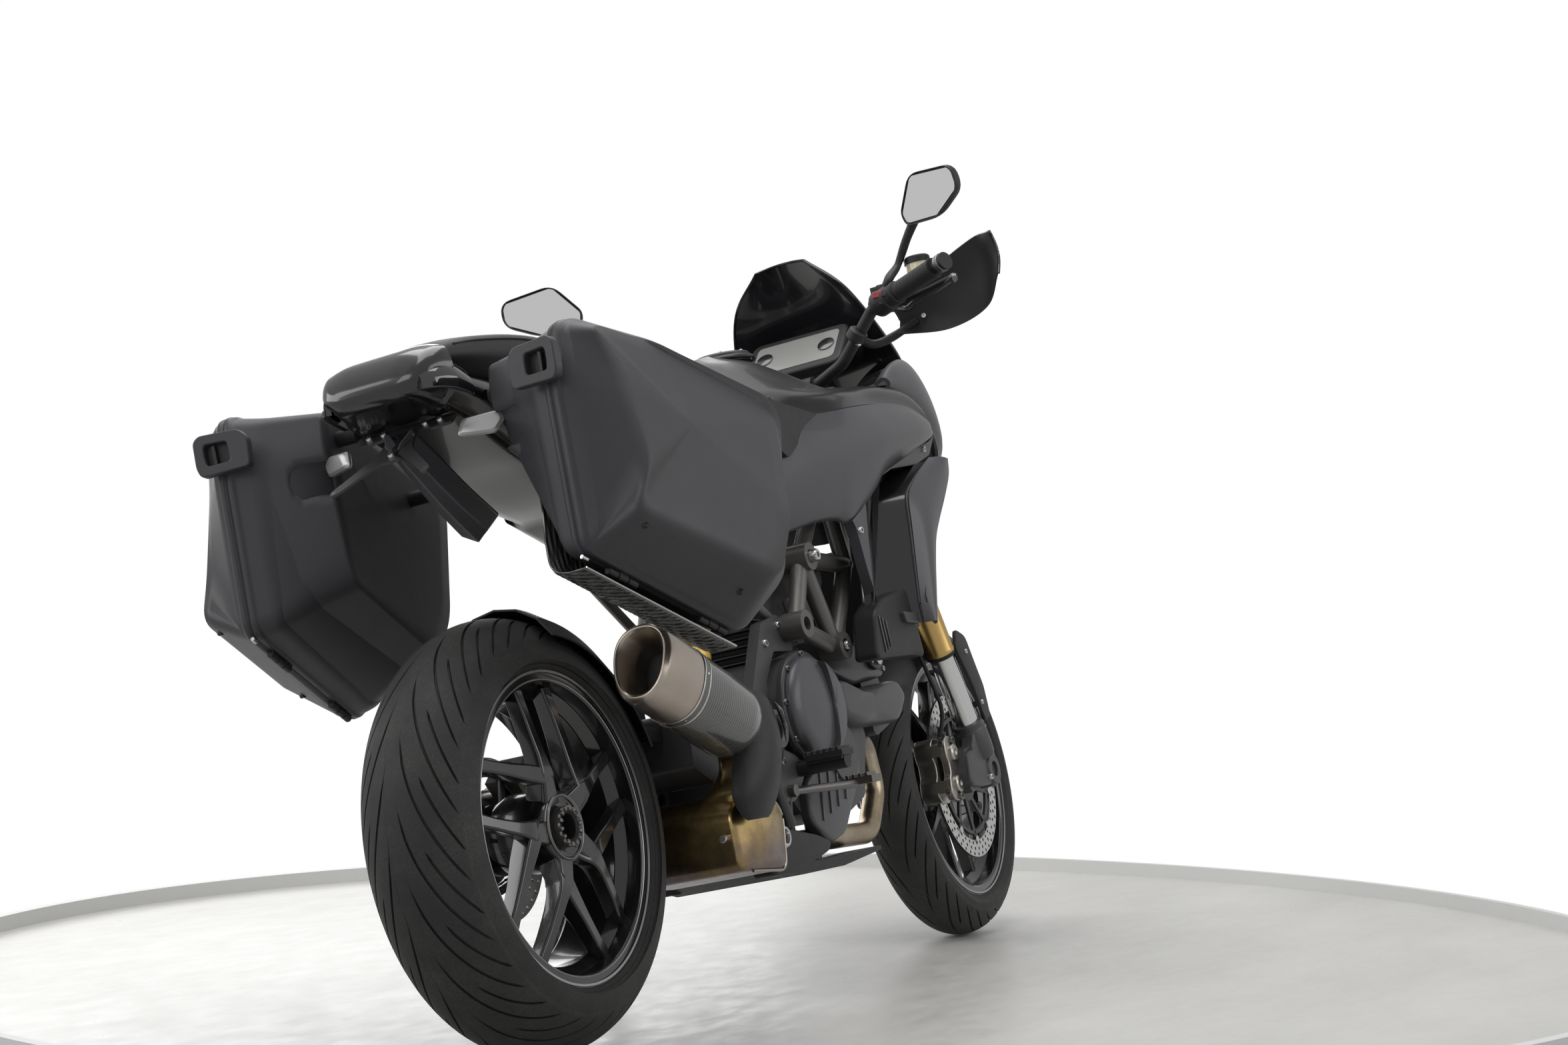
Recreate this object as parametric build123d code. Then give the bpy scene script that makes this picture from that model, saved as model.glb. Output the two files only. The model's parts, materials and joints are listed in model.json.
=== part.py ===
"""Adventure touring motorcycle with two hard cases, parked on its side stand.

Every piece is drawn on the upright machine: X forward, Y to the rider's left, Z up, with the
origin on the ground below the rear axle. `parked` then turns the bars and leans the machine.
"""
from build123d import *
from math import asin, atan2, cos, degrees, pi, radians, sin, sqrt, tan
import os

# Stance
wheelbase = 1530
rake = 25
trail = 110
lean = 11.96
steer = 2.4
row_origin = (755, 211.6)

# Wheels
rear_radius = 320
rear_crown = 96
rear_rim_radius = 231
rear_rim_half = 79
front_radius = 300
front_crown = 60
front_rim_radius = 231
front_rim_half = 48
tyre_wall = 11
rim_wall = 6
bead_depth = 13
fork_spokes = 5
fork_turn = 24
rear_axle_radius = 34
front_axle_radius = 13

# Fork
leg_half = 105
outer_tube_radius = 28
inner_tube_radius = 24
stem_radius = 16
caliper_face = 93
guard_gap = 10
stem_clamp = 40
clamp_wall = 11
yoke_half_low = 21
yoke_half_top = 13
lower_yoke_z = 806
upper_yoke_z = 962

# Chain drive
chain_y = 140
pitch = 15.875
rear_teeth = 40
front_teeth = 15
pivot_x = 575
pivot_z = 420
sprocket_x = 670
sprocket_z = 420
roller_half = 5
roller_radius = 5
plate_thick = 2
plate_height = 13

# Stand
stand_pivot = Vector(615, 150, 262)
stand_axis = Vector(-0.066, 0.771, 0.634)
foot = (640, 300)

# Cases
case_yaw = 0.19
seam_half = 316
case_wall = 4
lid_gap = 0.4

clearance = 0.3

front_x = wheelbase
slope = tan(radians(rake))
leg_offset = front_radius * sin(radians(rake)) - trail * cos(radians(rake))
axis_foot = wheelbase + trail
axis_up = Vector(-sin(radians(rake)), 0, cos(radians(rake)))
steering_axis = Axis((axis_foot, 0, 0), axis_up)


def mirrored(shape):
    return mirror(shape, Plane.XZ)


def both(shape):
    return shape + mirrored(shape)


def rod(start, end, radius):
    start = Vector(*start)
    run = Vector(*end) - start
    return Plane(origin=start, z_dir=run) * Cylinder(
        radius, run.length, align=(Align.CENTER, Align.CENTER, Align.MIN))


def disc(x, y, z, radius, width):
    """Cylinder about a line across the machine, its middle at y."""
    return Pos(x, y, z) * Rot(X=90) * Cylinder(radius, width)


def pipe(points, radii, radius):
    path = FilletPolyline(*points, radius=radii)
    return sweep(Plane(path @ 0, z_dir=path % 0) * Circle(radius), path=path)


def slab(points, low, high, corner=0):
    """Side-view outline, given as x and z, as a plate from y = low to y = high."""
    face = make_face(Polyline(*points, close=True))
    if corner:
        face = fillet(face.vertices(), corner)
    plane = Plane(origin=(0, high, 0), x_dir=(1, 0, 0), z_dir=(0, -1, 0))
    return extrude(plane * face, high - low)


def section(x, points):
    """Closed smooth outline across the machine at x, given as y and z."""
    plane = Plane(origin=(x, 0, 0), x_dir=(0, 1, 0), z_dir=(1, 0, 0))
    return plane * make_face(Spline(*points, periodic=True))


def spun(points, x, z):
    """Turned ring about a wheel's axle, its profile given as y and radius."""
    face = make_face(Polyline(*points, close=True))
    turned = revolve(Plane.XY * face, axis=Axis.X)
    return Pos(x, 0, z) * Rot(Z=90) * turned


def along_axis(z, ahead=0, y=0):
    """Point level with height z on the steering axis, moved square to it and sideways."""
    square = Vector(cos(radians(rake)), 0, sin(radians(rake)))
    return Vector(axis_foot - z * slope, y, z) + square * ahead


def parked(shape, steered=False):
    if steered:
        shape = shape.rotate(steering_axis, steer)
    shape = shape.rotate(Axis.X, -lean)
    lift = rear_crown * (1 - cos(radians(lean)))
    return Pos(-row_origin[0], -row_origin[1], lift) * shape


# Wheels -----------------------------------------------------------------------------------

def tyre(radius, crown, rim_radius, rim_half, x):
    ring = radius - crown
    seat = rim_radius - bead_depth + clearance
    inner = crown - tyre_wall
    flange = rim_half - rim_wall
    turns = (-80, -60, -40, -24, -lean, 0, lean, 24, 40, 60, 80)
    outer = [(crown * sin(radians(a)), ring + crown * cos(radians(a))) for a in turns]
    cavity = [(inner * sin(radians(a)), ring + inner * cos(radians(a))) for a in range(75, -76, -30)]
    bead = [(rim_half + 1, rim_radius + 3), (flange, rim_radius + 1), (flange, seat),
            (flange - tyre_wall, seat)]
    other = [(-y, r) for y, r in reversed(bead)]
    return spun(outer + bead + cavity + other, x, radius)


def barrel(rim_radius, rim_half, x, z):
    """Rim with two lips, two bead seats and a dropped centre."""
    flange = rim_half - rim_wall
    seat = rim_radius - bead_depth
    well = seat - 16
    half = [(rim_half, rim_radius), (flange, rim_radius), (flange, seat), (flange - 22, seat),
            (flange - 34, well)]
    under = [(flange - 38, well - rim_wall), (flange - 24, seat - rim_wall), (rim_half, seat - rim_wall)]
    points = half + [(-y, r) for y, r in reversed(half)] + [(-y, r) for y, r in under[::-1]] + under
    return spun(points, x, z)


def spoke_bar(start, end, wide, deep):
    """Straight bar of a spoke between two stations, each a distance out, a turn and a place across."""
    stations = []
    for out, turn, across in (start, end):
        stations.append(Vector(out * cos(radians(turn)), out * sin(radians(turn)), across))
    run = stations[1] - stations[0]
    side = run.cross(Vector(0, 0, 1))
    first = Plane(origin=stations[0], x_dir=side, z_dir=run)
    last = Plane(origin=stations[1], x_dir=side, z_dir=run)
    return loft([first * Rectangle(wide, deep), last * Rectangle(wide - 5, deep - 8)], ruled=True)


def spokes(x, z, first, hub, knee, reach):
    """Forked spokes: a stem from the hub parts at its knee into two prongs that run to the rim."""
    solids = []
    for spoke in range(fork_spokes):
        turn = first + spoke * 360 / fork_spokes
        forked = [spoke_bar((hub[0], turn, hub[1]), (knee[0], turn, knee[1]), 34, 26)]
        for side in (-1, 1):
            prong = turn + side * fork_turn
            forked.append(spoke_bar((knee[0] - 8, turn, knee[1]), (reach[0], prong, reach[1]), 24, 24))
        solids += [Pos(x, 0, z) * Rot(X=90) * bar for bar in forked]
    return solids


def rear_rim():
    seat = rear_rim_radius - bead_depth
    rim = barrel(rear_rim_radius, rear_rim_half, 0, rear_radius)
    rim += spokes(0, rear_radius, 35, (34, 76), (90, 74), (seat - 4, 56))
    rim += disc(0, -30, rear_radius, 56, 76)
    rim += disc(0, 74, rear_radius, rear_axle_radius, 134)
    rim += disc(0, -78, rear_radius, 40, 22)
    return rim - disc(0, -60, rear_radius, 26, 120)


def front_rim():
    seat = front_rim_radius - bead_depth
    rim = barrel(front_rim_radius, front_rim_half, front_x, front_radius)
    rim += spokes(front_x, front_radius, 20, (24, 0), (84, 0), (seat - 19, 0))
    rim += disc(front_x, 0, front_radius, 36, 96)
    return rim - disc(front_x, 0, front_radius, front_axle_radius + clearance, 120)


def brake_disc(x, y, z, radius, width, hub):
    """Floating ring on a five-armed carrier."""
    ring = disc(x, y, z, radius, 5) - disc(x, y, z, radius - width, 6)
    centre = disc(x, y, z, hub, 5)
    arms = [Pos(x, y, z) * Rot(Y=turn) * Pos(0, 0, radius / 2) * Box(16, 5, radius - width)
            for turn in range(0, 360, 72)]
    return ring + centre + arms


def rear_disc():
    return brake_disc(0, 44, rear_radius, 122.5, 28, 48) - disc(0, 44, rear_radius,
                                                                rear_axle_radius + 0.3, 20)


def front_discs():
    left = brake_disc(front_x, 56, front_radius, 160, 32, 46)
    left += disc(front_x, 50.75, front_radius, 46, 5.5)
    left -= disc(front_x, 56, front_radius, 20, 60)
    return both(left)


def rear_sprocket():
    """Toothed ring on five arms, its teeth short of the rollers."""
    tip = rear_teeth * pitch / (2 * pi) - roller_radius - 1
    turns = [2 * pi * step / (4 * rear_teeth) for step in range(4 * rear_teeth)]
    radii = (tip, tip, tip - 6, tip - 6)
    teeth = [(radii[step % 4] * cos(turn), rear_radius + radii[step % 4] * sin(turn))
             for step, turn in enumerate(turns)]
    toothed = slab(teeth, chain_y - 3, chain_y + 3)
    cut = [Pos(0, chain_y, rear_radius) * Rot(Y=turn) * Pos(0, 0, tip * 0.62) * Rot(X=90) * Cylinder(17, 20)
           for turn in range(0, 360, 72)]
    return toothed - cut - disc(0, chain_y, rear_radius, rear_axle_radius + clearance, 20)


def pitch_line():
    """Line of the chain's pins, drawn tight round both sprockets."""
    rear = Pos(0, rear_radius) * Circle(rear_teeth * pitch / (2 * pi))
    front = Pos(sprocket_x, sprocket_z) * Circle(front_teeth * pitch / (2 * pi))
    return make_hull((rear + front).edges()).face().outer_wire()


def drive_chain():
    """Closed loop of rollers between inner and outer plates by turns."""
    line = pitch_line()
    links = 2 * round(line.length / pitch / 2)
    solids = []
    for link in range(links):
        here = line @ (link / links)
        there = line @ ((link + 1) % links / links)
        middle = (here + there) / 2
        turn = degrees(atan2(there.Y - here.Y, there.X - here.X))
        roller = Rot(X=90) * extrude(RegularPolygon(roller_radius, 6), roller_half, both=True)
        solids.append(Pos(here.X, chain_y, here.Y) * Rot(Y=-turn) * roller)
        inside = roller_half + link % 2 * plate_thick
        for side in (-1, 1):
            link_plate = Box(pitch + plate_height * 0.6, plate_thick, plate_height)
            across = chain_y + side * (inside + plate_thick / 2)
            solids.append(Pos(middle.X, across, middle.Y) * Rot(Y=-turn) * link_plate)
    return Compound(children=solids)


# Fork -------------------------------------------------------------------------------------

def leg_point(z, y=leg_half):
    lift = (z - front_radius) / cos(radians(rake))
    hub = Vector(front_x, y, front_radius)
    return hub + axis_up * lift


def fork_outer_tubes():
    tube = rod(leg_point(522), leg_point(1000), outer_tube_radius)
    tube += rod(leg_point(510), leg_point(535), outer_tube_radius + 2)
    tube -= rod(leg_point(500), leg_point(560), inner_tube_radius + clearance)
    return both(tube)


tube_foot = front_radius + 98


def fork_inner_tubes():
    return both(rod(leg_point(tube_foot), leg_point(555), inner_tube_radius))


def fork_feet():
    """Axle castings with the lugs that carry the calipers, joined by the axle."""
    foot = rod(leg_point(front_radius + 30), leg_point(tube_foot - clearance), inner_tube_radius + 6)
    foot += disc(front_x, leg_half, front_radius, 30, 34)
    foot += slab([(front_x - 28, front_radius - 4), (front_x + 30, front_radius - 4),
                  (front_x + 18, front_radius + 30), (front_x - 20, front_radius + 100),
                  (front_x - 52, front_radius + 88)], leg_half - 16, leg_half + 14)
    foot += slab([(front_x - 30, front_radius - 24), (front_x - 30, front_radius + 60),
                  (front_x - 112, front_radius + 45), (front_x - 132, front_radius),
                  (front_x - 112, front_radius - 38)], caliper_face, 112, 6)
    feet = both(foot)
    return feet + disc(front_x, 0, front_radius, front_axle_radius, 2 * leg_half)


def yoke(z, thickness):
    """Clamp plate drawn tight round the stem and both legs."""
    plane = Plane(origin=along_axis(z), x_dir=(cos(radians(rake)), 0, sin(radians(rake))), z_dir=axis_up)
    rings = Circle(stem_clamp)
    for side in (-1, 1):
        rings += Pos(leg_offset, side * leg_half) * Circle(outer_tube_radius + clamp_wall)
    body = extrude(plane * make_hull(rings.edges()), thickness / 2, both=True)
    for side in (-1, 1):
        body -= rod(leg_point(z - 60, side * leg_half), leg_point(z + 60, side * leg_half),
                    outer_tube_radius + clearance)
    return body


def fork_yokes():
    stem = rod(along_axis(lower_yoke_z), along_axis(upper_yoke_z), stem_radius)
    return yoke(lower_yoke_z, 2 * yoke_half_low) + yoke(upper_yoke_z, 2 * yoke_half_top) + stem


bar_z = 1043
bar_ahead = 22
bar_bend = (front_x - 408, 150, 1072)
bar_shoulder = (front_x - 438, 240, 1148)
bar_end = (front_x - 524, 410, 1173)


def bar_centre():
    return along_axis(bar_z, bar_ahead)


def handlebar():
    """Tapered-look bar on two risers that stand on the upper yoke."""
    middle = bar_centre()
    half = [(middle.X, 62, middle.Z), bar_bend, bar_shoulder, bar_end]
    right = [(x, -y, z) for x, y, z in half[::-1]]
    bar = pipe(right + half, 38, 11)
    for side in (-1, 1):
        foot = along_axis(upper_yoke_z, bar_ahead, side * 52) + axis_up * yoke_half_top
        bar += rod(foot, (middle.X, side * 52, middle.Z), 17)
        bar += disc(middle.X, side * 52, middle.Z, 21, 26)
    return bar


control_radius = 21
master_radius = 10


def bar_at(share):
    """Point on the grip's run, from the shoulder to the bar's end."""
    start = Vector(*bar_shoulder)
    return start + (Vector(*bar_end) - start) * share


def grips():
    grip = rod(bar_at(0.36), bar_at(0.94), 17) - rod(bar_at(0.3), bar_at(1), 11 + clearance)
    return both(grip)


def master_root():
    return bar_at(0.2) + Vector(8, 0, -8)


def lever_root():
    return bar_at(0.2) + Vector(45, -6, -6)


def bar_controls():
    """Switch housings, master cylinders with their levers and the fluid reservoir."""
    lever_tip = bar_at(0.95) + Vector(62, 6, -14)
    side = rod(bar_at(0.08), bar_at(0.34), control_radius)
    side += rod(master_root(), lever_root(), master_radius)
    side += rod(lever_root(), lever_tip, 6)
    side += Sphere(master_radius).move(Location(lever_root()))
    side -= rod(bar_at(0), bar_at(1), 11 + clearance)
    weight = rod(bar_at(1.0), bar_at(1.1), 16)
    pot = rod(bar_at(0.5) + Vector(74, 6, 24), bar_at(0.5) + Vector(74, 6, 62), 21)
    post = rod(lever_root(), bar_at(0.5) + Vector(74, 6, 26), 7)
    right = mirrored(pot + post)
    return both(side + weight) + right


def hand_guards():
    """Curved shields ahead of the grips, each on an arm from a clamp on the bar."""
    sections = []
    for x, y, low, high in ((front_x - 388, 262, 1098, 1146), (front_x - 360, 350, 1085, 1200),
                            (front_x - 362, 430, 1105, 1232),
                            (front_x - 410, 478, 1150, 1228)):
        plane = Plane(origin=(x, y, (low + high) / 2), x_dir=(0.6, -0.8, 0), z_dir=(0.8, 0.6, 0))
        sections.append(plane * Rectangle(5, high - low))
    shield = loft(sections)
    bend = Vector(*bar_bend)
    rise = Vector(*bar_shoulder) - bend
    clamp = rod(bend + rise * 0.42, bend + rise * 0.6, 17)
    arm = rod(bend + rise * 0.51 + Vector(8, 0, -4), (front_x - 390, 262, 1122), 6.5)
    held = clamp + arm + shield
    held -= rod(bar_at(0.03), bar_at(0.34), control_radius + 2)
    return both(held - rod(bend, bend + rise, 11 + clearance))


mirror_points = ((front_x - 503, 473, 1346), (front_x - 441, 387, 1365), (front_x - 446, 331, 1299),
                 (front_x - 451, 335, 1273),
                 (front_x - 500, 400, 1262), (front_x - 522, 465, 1296))


def mirror_plane():
    middle = Vector(0, 0, 0)
    for point in mirror_points:
        middle += Vector(*point) / len(mirror_points)
    return Plane(origin=middle, x_dir=(-0.42, 0.9, 0), z_dir=(-0.88, -0.41, -0.15))


def mirror_outline(inset):
    outline = [mirror_plane().to_local_coords(Vector(*point)) for point in mirror_points]
    face = make_face(Polyline(*[(point.X, point.Y) for point in outline], close=True))
    face = fillet(face.vertices(), 16)
    return offset(face, -inset) if inset else face


def mirrors():
    plane = mirror_plane()
    head = extrude(plane * mirror_outline(0), -24)
    head -= extrude(plane * mirror_outline(5), -3)
    knee = (front_x - 430, 300, 1215)
    stalk = rod(bar_at(0.2) + Vector(0, 0, 10), knee, 9)
    stalk += rod(knee, (front_x - 434, 352, 1290), 9)
    stalk += Sphere(9).move(Location(knee))
    stalk -= rod(bar_at(0), bar_at(0.4), control_radius + clearance)
    stalk -= rod(master_root(), lever_root(), master_radius + clearance)
    return both(head + stalk)


def mirror_glass():
    plane = mirror_plane().offset(-3)
    return both(extrude(plane * mirror_outline(5 + clearance), 2.5))


def front_mudguard():
    """Shell over the tyre, held by a stay on each fork foot."""
    ring = front_radius - front_crown
    inner = front_crown + guard_gap
    outer = inner + 3
    points = [(outer * sin(radians(a)), ring + outer * cos(radians(a))) for a in range(-80, 81, 20)]
    points += [(inner * sin(radians(a)), ring + inner * cos(radians(a))) for a in range(80, -81, -20)]
    shell = spun(points, front_x, front_radius)
    keep = slab([(front_x, front_radius), (front_x - 330, front_radius + 72),
                 (front_x - 330, front_radius + 400),
                 (front_x + 170, front_radius + 400), (front_x + 215, front_radius + 120)], -110, 110)
    stay = slab([(front_x - 52, front_radius + 75), (front_x - 18, front_radius + 80),
                 (front_x - 30, front_radius + 260),
                     (front_x - 90, front_radius + 248)], 70, leg_half - inner_tube_radius - 6.3)
    return (shell & keep) + both(stay)


def front_calipers():
    """Radial four-piston bodies behind the legs, open over the disc."""
    body = Box(124, caliper_face - 31, 58)
    body = fillet(body.edges().filter_by(Axis.Y), 8) - Pos(0, -6, -8) * Box(140, 14, 58)
    left = Pos(front_x, (caliper_face + 31) / 2, front_radius) * Rot(Y=-84) * Pos(0, 0, 140) * body
    return both(left)


hose_radius = 4
hose_bends = (60, 80)


def brake_hoses():
    """Hose on each side from the lower yoke down behind the leg to the caliper."""
    start = along_axis(lower_yoke_z, 18, 62) - axis_up * yoke_half_low
    behind = Vector(-cos(radians(rake)), 0, -sin(radians(rake)))
    low = leg_point(450, 92) + behind * 56
    route = [start, start - axis_up * 120, low, Vector(front_x - 134, 76, 370)]
    return both(pipe(route, hose_bends, hose_radius)) - front_calipers()


# Chassis ----------------------------------------------------------------------------------

clutch_x = 724
clutch_z = 450
pan_top = 200
upper_lug = (789, 150, 706)
rear_lug = (725, 150, 590)
low_lug = (861, 150, 550)
knee_lug = (991, 138, 699)
top_bend = (1000, 116, 868)
tube_radius = 15
lug_radius = 24
plate_in = 108
plate_out = 128
nose_bore = 165


def trellis_frame():
    """Tubes from the engine's lugs to the steering head, with the stay that holds the nose."""
    head_low = along_axis(858, 0, 30)
    head_high = along_axis(925, 0, 30)
    tubes = [(rear_lug, upper_lug), (upper_lug, low_lug), (rear_lug, low_lug), (low_lug, knee_lug),
             (upper_lug, knee_lug), (upper_lug, top_bend), (knee_lug, top_bend), (knee_lug, head_low),
             (top_bend, head_high), (top_bend, head_low)]
    side = rod(*tubes[0], tube_radius)
    for tube in tubes[1:]:
        side += rod(*tube, tube_radius)
    for x, y, z in (upper_lug, rear_lug, low_lug):
        side += disc(x, y, z, lug_radius, 2 * (y - plate_out))
    for joint in (knee_lug, top_bend):
        side += Sphere(tube_radius + 1).move(Location(joint))
    for x, y, z in (upper_lug, rear_lug, low_lug):
        side -= disc(x, y, z, 12, 60)
    head = rod(along_axis(lower_yoke_z + 24), along_axis(upper_yoke_z - 16), 32)
    stay = slab([(front_x - 300, 915), (front_x - 315, 865), (front_x - 110, 900),
                 (front_x - 130, 955)], -24, 24)
    stay &= rod(along_axis(600), along_axis(1300), nose_bore - clearance)
    frame = both(side) + head + stay
    frame += rod(top_bend, (top_bend[0], -top_bend[1], top_bend[2]), 10)
    return frame - rod(along_axis(700), along_axis(1100), stem_radius + clearance)


def plate(outline):
    """Cast plate between the engine's flank and the frame's lugs."""
    solid = slab(outline, plate_in, plate_out, 10)
    solid -= disc(560, plate_in, 350, 16, 60)
    return solid - disc(628, plate_in, 345, 12, 60)


def side_plates():
    """Plates that carry the swingarm pivot, the pegs, the frame's rear lugs and the stand."""
    top = [(700, 614), (752, 592), (742, 552), (668, 552), (622, 502), (622, 408), (662, 368), (662, 334)]
    rear = [(528, 302), (520, 400), (560, 480), (640, 600)]
    right = mirrored(plate(top + [(604, 300)] + rear))
    left = plate(top + [(648, 250), (590, 246)] + rear)
    shaft = disc(pivot_x, 0, pivot_z, 20.7, 2 * plate_out)
    boss = disc(pivot_x, -plate_out - 12, pivot_z, 34, 24) - disc(pivot_x, -plate_out - 14, pivot_z, 20, 30)
    tilt = Plane(origin=stand_pivot, z_dir=stand_axis)
    stand_boss = tilt * Pos(0, 0, -12.8 - 14) * Cylinder(14, 28)
    pin = tilt * Pos(0, 0, -2) * Cylinder(7, 36) + tilt * Pos(0, 0, 15) * Cylinder(11, 4)
    return left + right + shaft + boss + stand_boss + pin


def engine():
    """Crankcase with one cylinder lying forward and one standing back."""
    half = plate_in - clearance
    body = slab([(652, 330), (700, 280), (860, 262), (960, 292), (1010, 400), (960, 500), (800, 560),
                 (690, 540), (655, 450)], -half, half, 20)
    body += slab([(930, 355), (1120, 410), (1090, 530), (905, 480)], -86, 86, 14)
    body += slab([(1060, 392), (1140, 416), (1103, 552), (1030, 527)], -104, 104, 14)
    body += slab([(745, 520), (895, 520), (850, 700), (720, 665)], -86, 86, 14)
    body += slab([(714, 622), (866, 662), (848, 728), (696, 690)], -104, 104, 14)
    body += disc(clutch_x, -half - 22, clutch_z, 92, 44) + disc(clutch_x, -half - 50, clutch_z, 74, 14)
    body += disc(840, half + 18, 400, 84, 36) + disc(840, half + 42, 400, 62, 12)
    body += disc(860, -half - 12, 372, 52, 24)
    for side in (-1, 1):
        body += disc(low_lug[0], side * (plate_out - 20), low_lug[2], 20, 40)
        for x in (700, 780):
            body += rod((x, side * 80, pan_top), (x, side * 80, 300), 10)
    body += disc(sprocket_x, (plate_in + chain_y) / 2, sprocket_z, 14, chain_y - plate_in + 12)
    tip = front_teeth * pitch / (2 * pi) - roller_radius - 1
    return body + disc(sprocket_x, chain_y, sprocket_z, tip, 7)


def radiator():
    """Core behind the fork, hung from the frame's lower tubes."""
    core = slab([(1170, 570), (1210, 580), (1165, 745), (1125, 735)], -165, 165)
    head_low = along_axis(858, 0, 30)
    arm = rod((1140, 86, 738), (1116, 84, 778), 8) - rod(knee_lug, head_low, tube_radius + clearance)
    arm = arm.solids().sort_by(Axis.Z)[0]
    return core + both(arm)


def swingarm():
    """Single-sided arm on the left, with the wheel's bearing housing at its end."""
    arm = slab([(508, 470), (512, 360), (430, 326), (120, rear_radius - 52), (0, rear_radius - 58),
                (-58, rear_radius), (-20, rear_radius + 52), (120, rear_radius + 80),
                    (380, 478)], 104, 130, 16)
    cross = slab([(pivot_x + 36, 462), (pivot_x + 30, 380), (420, 350), (360, 380),
                  (368, 470)], -107, 107, 12)
    housing = disc(0, 96, rear_radius, 64, 68)
    arm = arm + cross + housing
    arm -= disc(0, 96, rear_radius, rear_axle_radius + clearance, 100)
    return arm - disc(pivot_x, 0, pivot_z, 21, 400)


def shock_absorber():
    """Spring and damper between the swingarm and the frame's cross tube."""
    low = Vector(480, -60, 487)
    high = Vector(560, -60, 750 - 10 - 18 - clearance)
    run = high - low
    body = rod(low, high, 20) + disc(*low, 18, 40) + disc(*high, 18, 40)
    for turn in range(7):
        middle = low + run * (0.2 + 0.1 * turn)
        body += rod(middle - run * 0.02, middle + run * 0.02, 33)
    return body


def exhaust_box():
    """Collector ahead of the rear wheel with the riser that feeds the muffler."""
    box = slab([(352, 205), (500, 195), (525, 290), (470, 330), (400, 330), (348, 300)], -165, 70, 14)
    elbow = muffler_point(1) + (muffler_front - muffler_tip).normalized() * 36
    riser = rod(muffler_point(1), elbow, 26) + Sphere(26).move(Location(elbow))
    return box + riser + rod(elbow, (450, -135, 310), 26)


def header_pipes():
    """Front cylinder's pipe, round the engine's nose and back under it."""
    route = [(1085, -40, 420), (1140, -40, 380), (1150, -40, 300), (1080, -45, 228), (500, -60, 240)]
    return pipe(route, [30, 50, 60], 20) - engine() - exhaust_box()


muffler_tip = Vector(100, -186, 548)
muffler_front = Vector(400, -182, 456)


def muffler_point(share):
    return muffler_tip + (muffler_front - muffler_tip) * share


def muffler():
    run = (muffler_front - muffler_tip).normalized()
    start = Plane(origin=muffler_point(0.34), x_dir=(0, -1, 0), z_dir=run)
    end = Plane(origin=muffler_point(1.0), x_dir=(0, -1, 0), z_dir=run)
    shape = RectangleRounded(118, 104, 40)
    return loft([start * shape, end * shape])


def muffler_end_cap():
    run = (muffler_front - muffler_tip).normalized()
    start = Plane(origin=muffler_point(0), x_dir=(0, -1, 0), z_dir=run)
    end = Plane(origin=muffler_point(0.34), x_dir=(0, -1, 0), z_dir=run)
    cap = loft([start * RectangleRounded(84, 92, 34), end * RectangleRounded(118, 104, 40)])
    hole = rod(muffler_point(-0.1), muffler_point(0.24), 33)
    return cap - hole


def muffler_guard():
    """Black cover ahead of the muffler, down to the collector box, on two posts."""
    inside = 208
    guard = slab([(430, 505), (520, 455), (552, 330), (530, 300), (440, 336),
                  (430, 400)], -244, -inside, 14)
    return guard + disc(541, -(plate_out + inside + 2) / 2, 350, 9, inside + 2 - plate_out)


def fuel_tank():
    """Tank that rises from the seat to the filler, open below for the frame."""
    sections = []
    for x, half, low, high, crown in ((690, 118, 760, 880, 888), (790, 150, 765, 985, 1040),
                                      (900, 168, 785, 1010, 1095), (1010, 176, 800, 1005, 1108),
                                      (1090, 170, 830, 1000, 1092)):
        middle = (high + low) / 2 + 30
        sections.append(section(x, [(0, crown), (half * 0.72, high), (half, middle), (half * 0.9, low),
                                    (0, low - 4), (-half * 0.9, low), (-half, middle),
                                        (-half * 0.72, high)]))
    body = loft(sections)
    over_lug = upper_lug[2] + lug_radius + clearance
    over_tube = tube_radius + 1 + clearance
    tunnel = slab([(600, 700), (600, 750), (690, 740), (upper_lug[0] - 24, over_lug),
                   (upper_lug[0] + 5, over_lug),
                   (top_bend[0], top_bend[2] + over_tube * 1.26), (1300, 967), (1300, 700)], -200, 200)
    recess = extrude(cap_plane() * Circle(52 + clearance), 60)
    return body - tunnel - recess - rod(along_axis(700), along_axis(1200), 150)


def cap_plane():
    return Plane(origin=(945, 0, 1092), z_dir=(0, 0, 1))


def fuel_cap():
    return extrude(cap_plane() * Circle(52), 18)


def side_fairing():
    """Right-hand panel from the knee to the nose, with the deep cowl below it."""
    panel = slab([(700, 960), (700, 765), (900, 790), (1040, 850), (1180, 868), (1330, 905), (1345, 945),
                  (1330, 1030), (1180, 1062), (960, 1010)], -236, -212, 20)
    cowl = slab([(1040, 862), (894, 800), (905, 600), (1004, 510), (1062, 556), (1160, 705), (1228, 800),
                 (1268, 872), (1180, 880)], -262, -222, 12)
    held = panel + cowl
    for x, y, z in (top_bend, knee_lug):
        start = -y - tube_radius - 1 - clearance
        held += disc(x, (start - 230) / 2, z, 8, 230 + start)
    return held


dash_z = 1045


def lamp_block(grow):
    outline = offset(make_face(Polyline((front_x - 40, 915), (front_x + 70, 905), (front_x + 30, 868),
                                        (front_x - 40, 860), close=True)), grow)
    plane = Plane(origin=(0, 105, 0), x_dir=(1, 0, 0), z_dir=(0, -1, 0))
    return extrude(plane * outline, 90)


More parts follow.
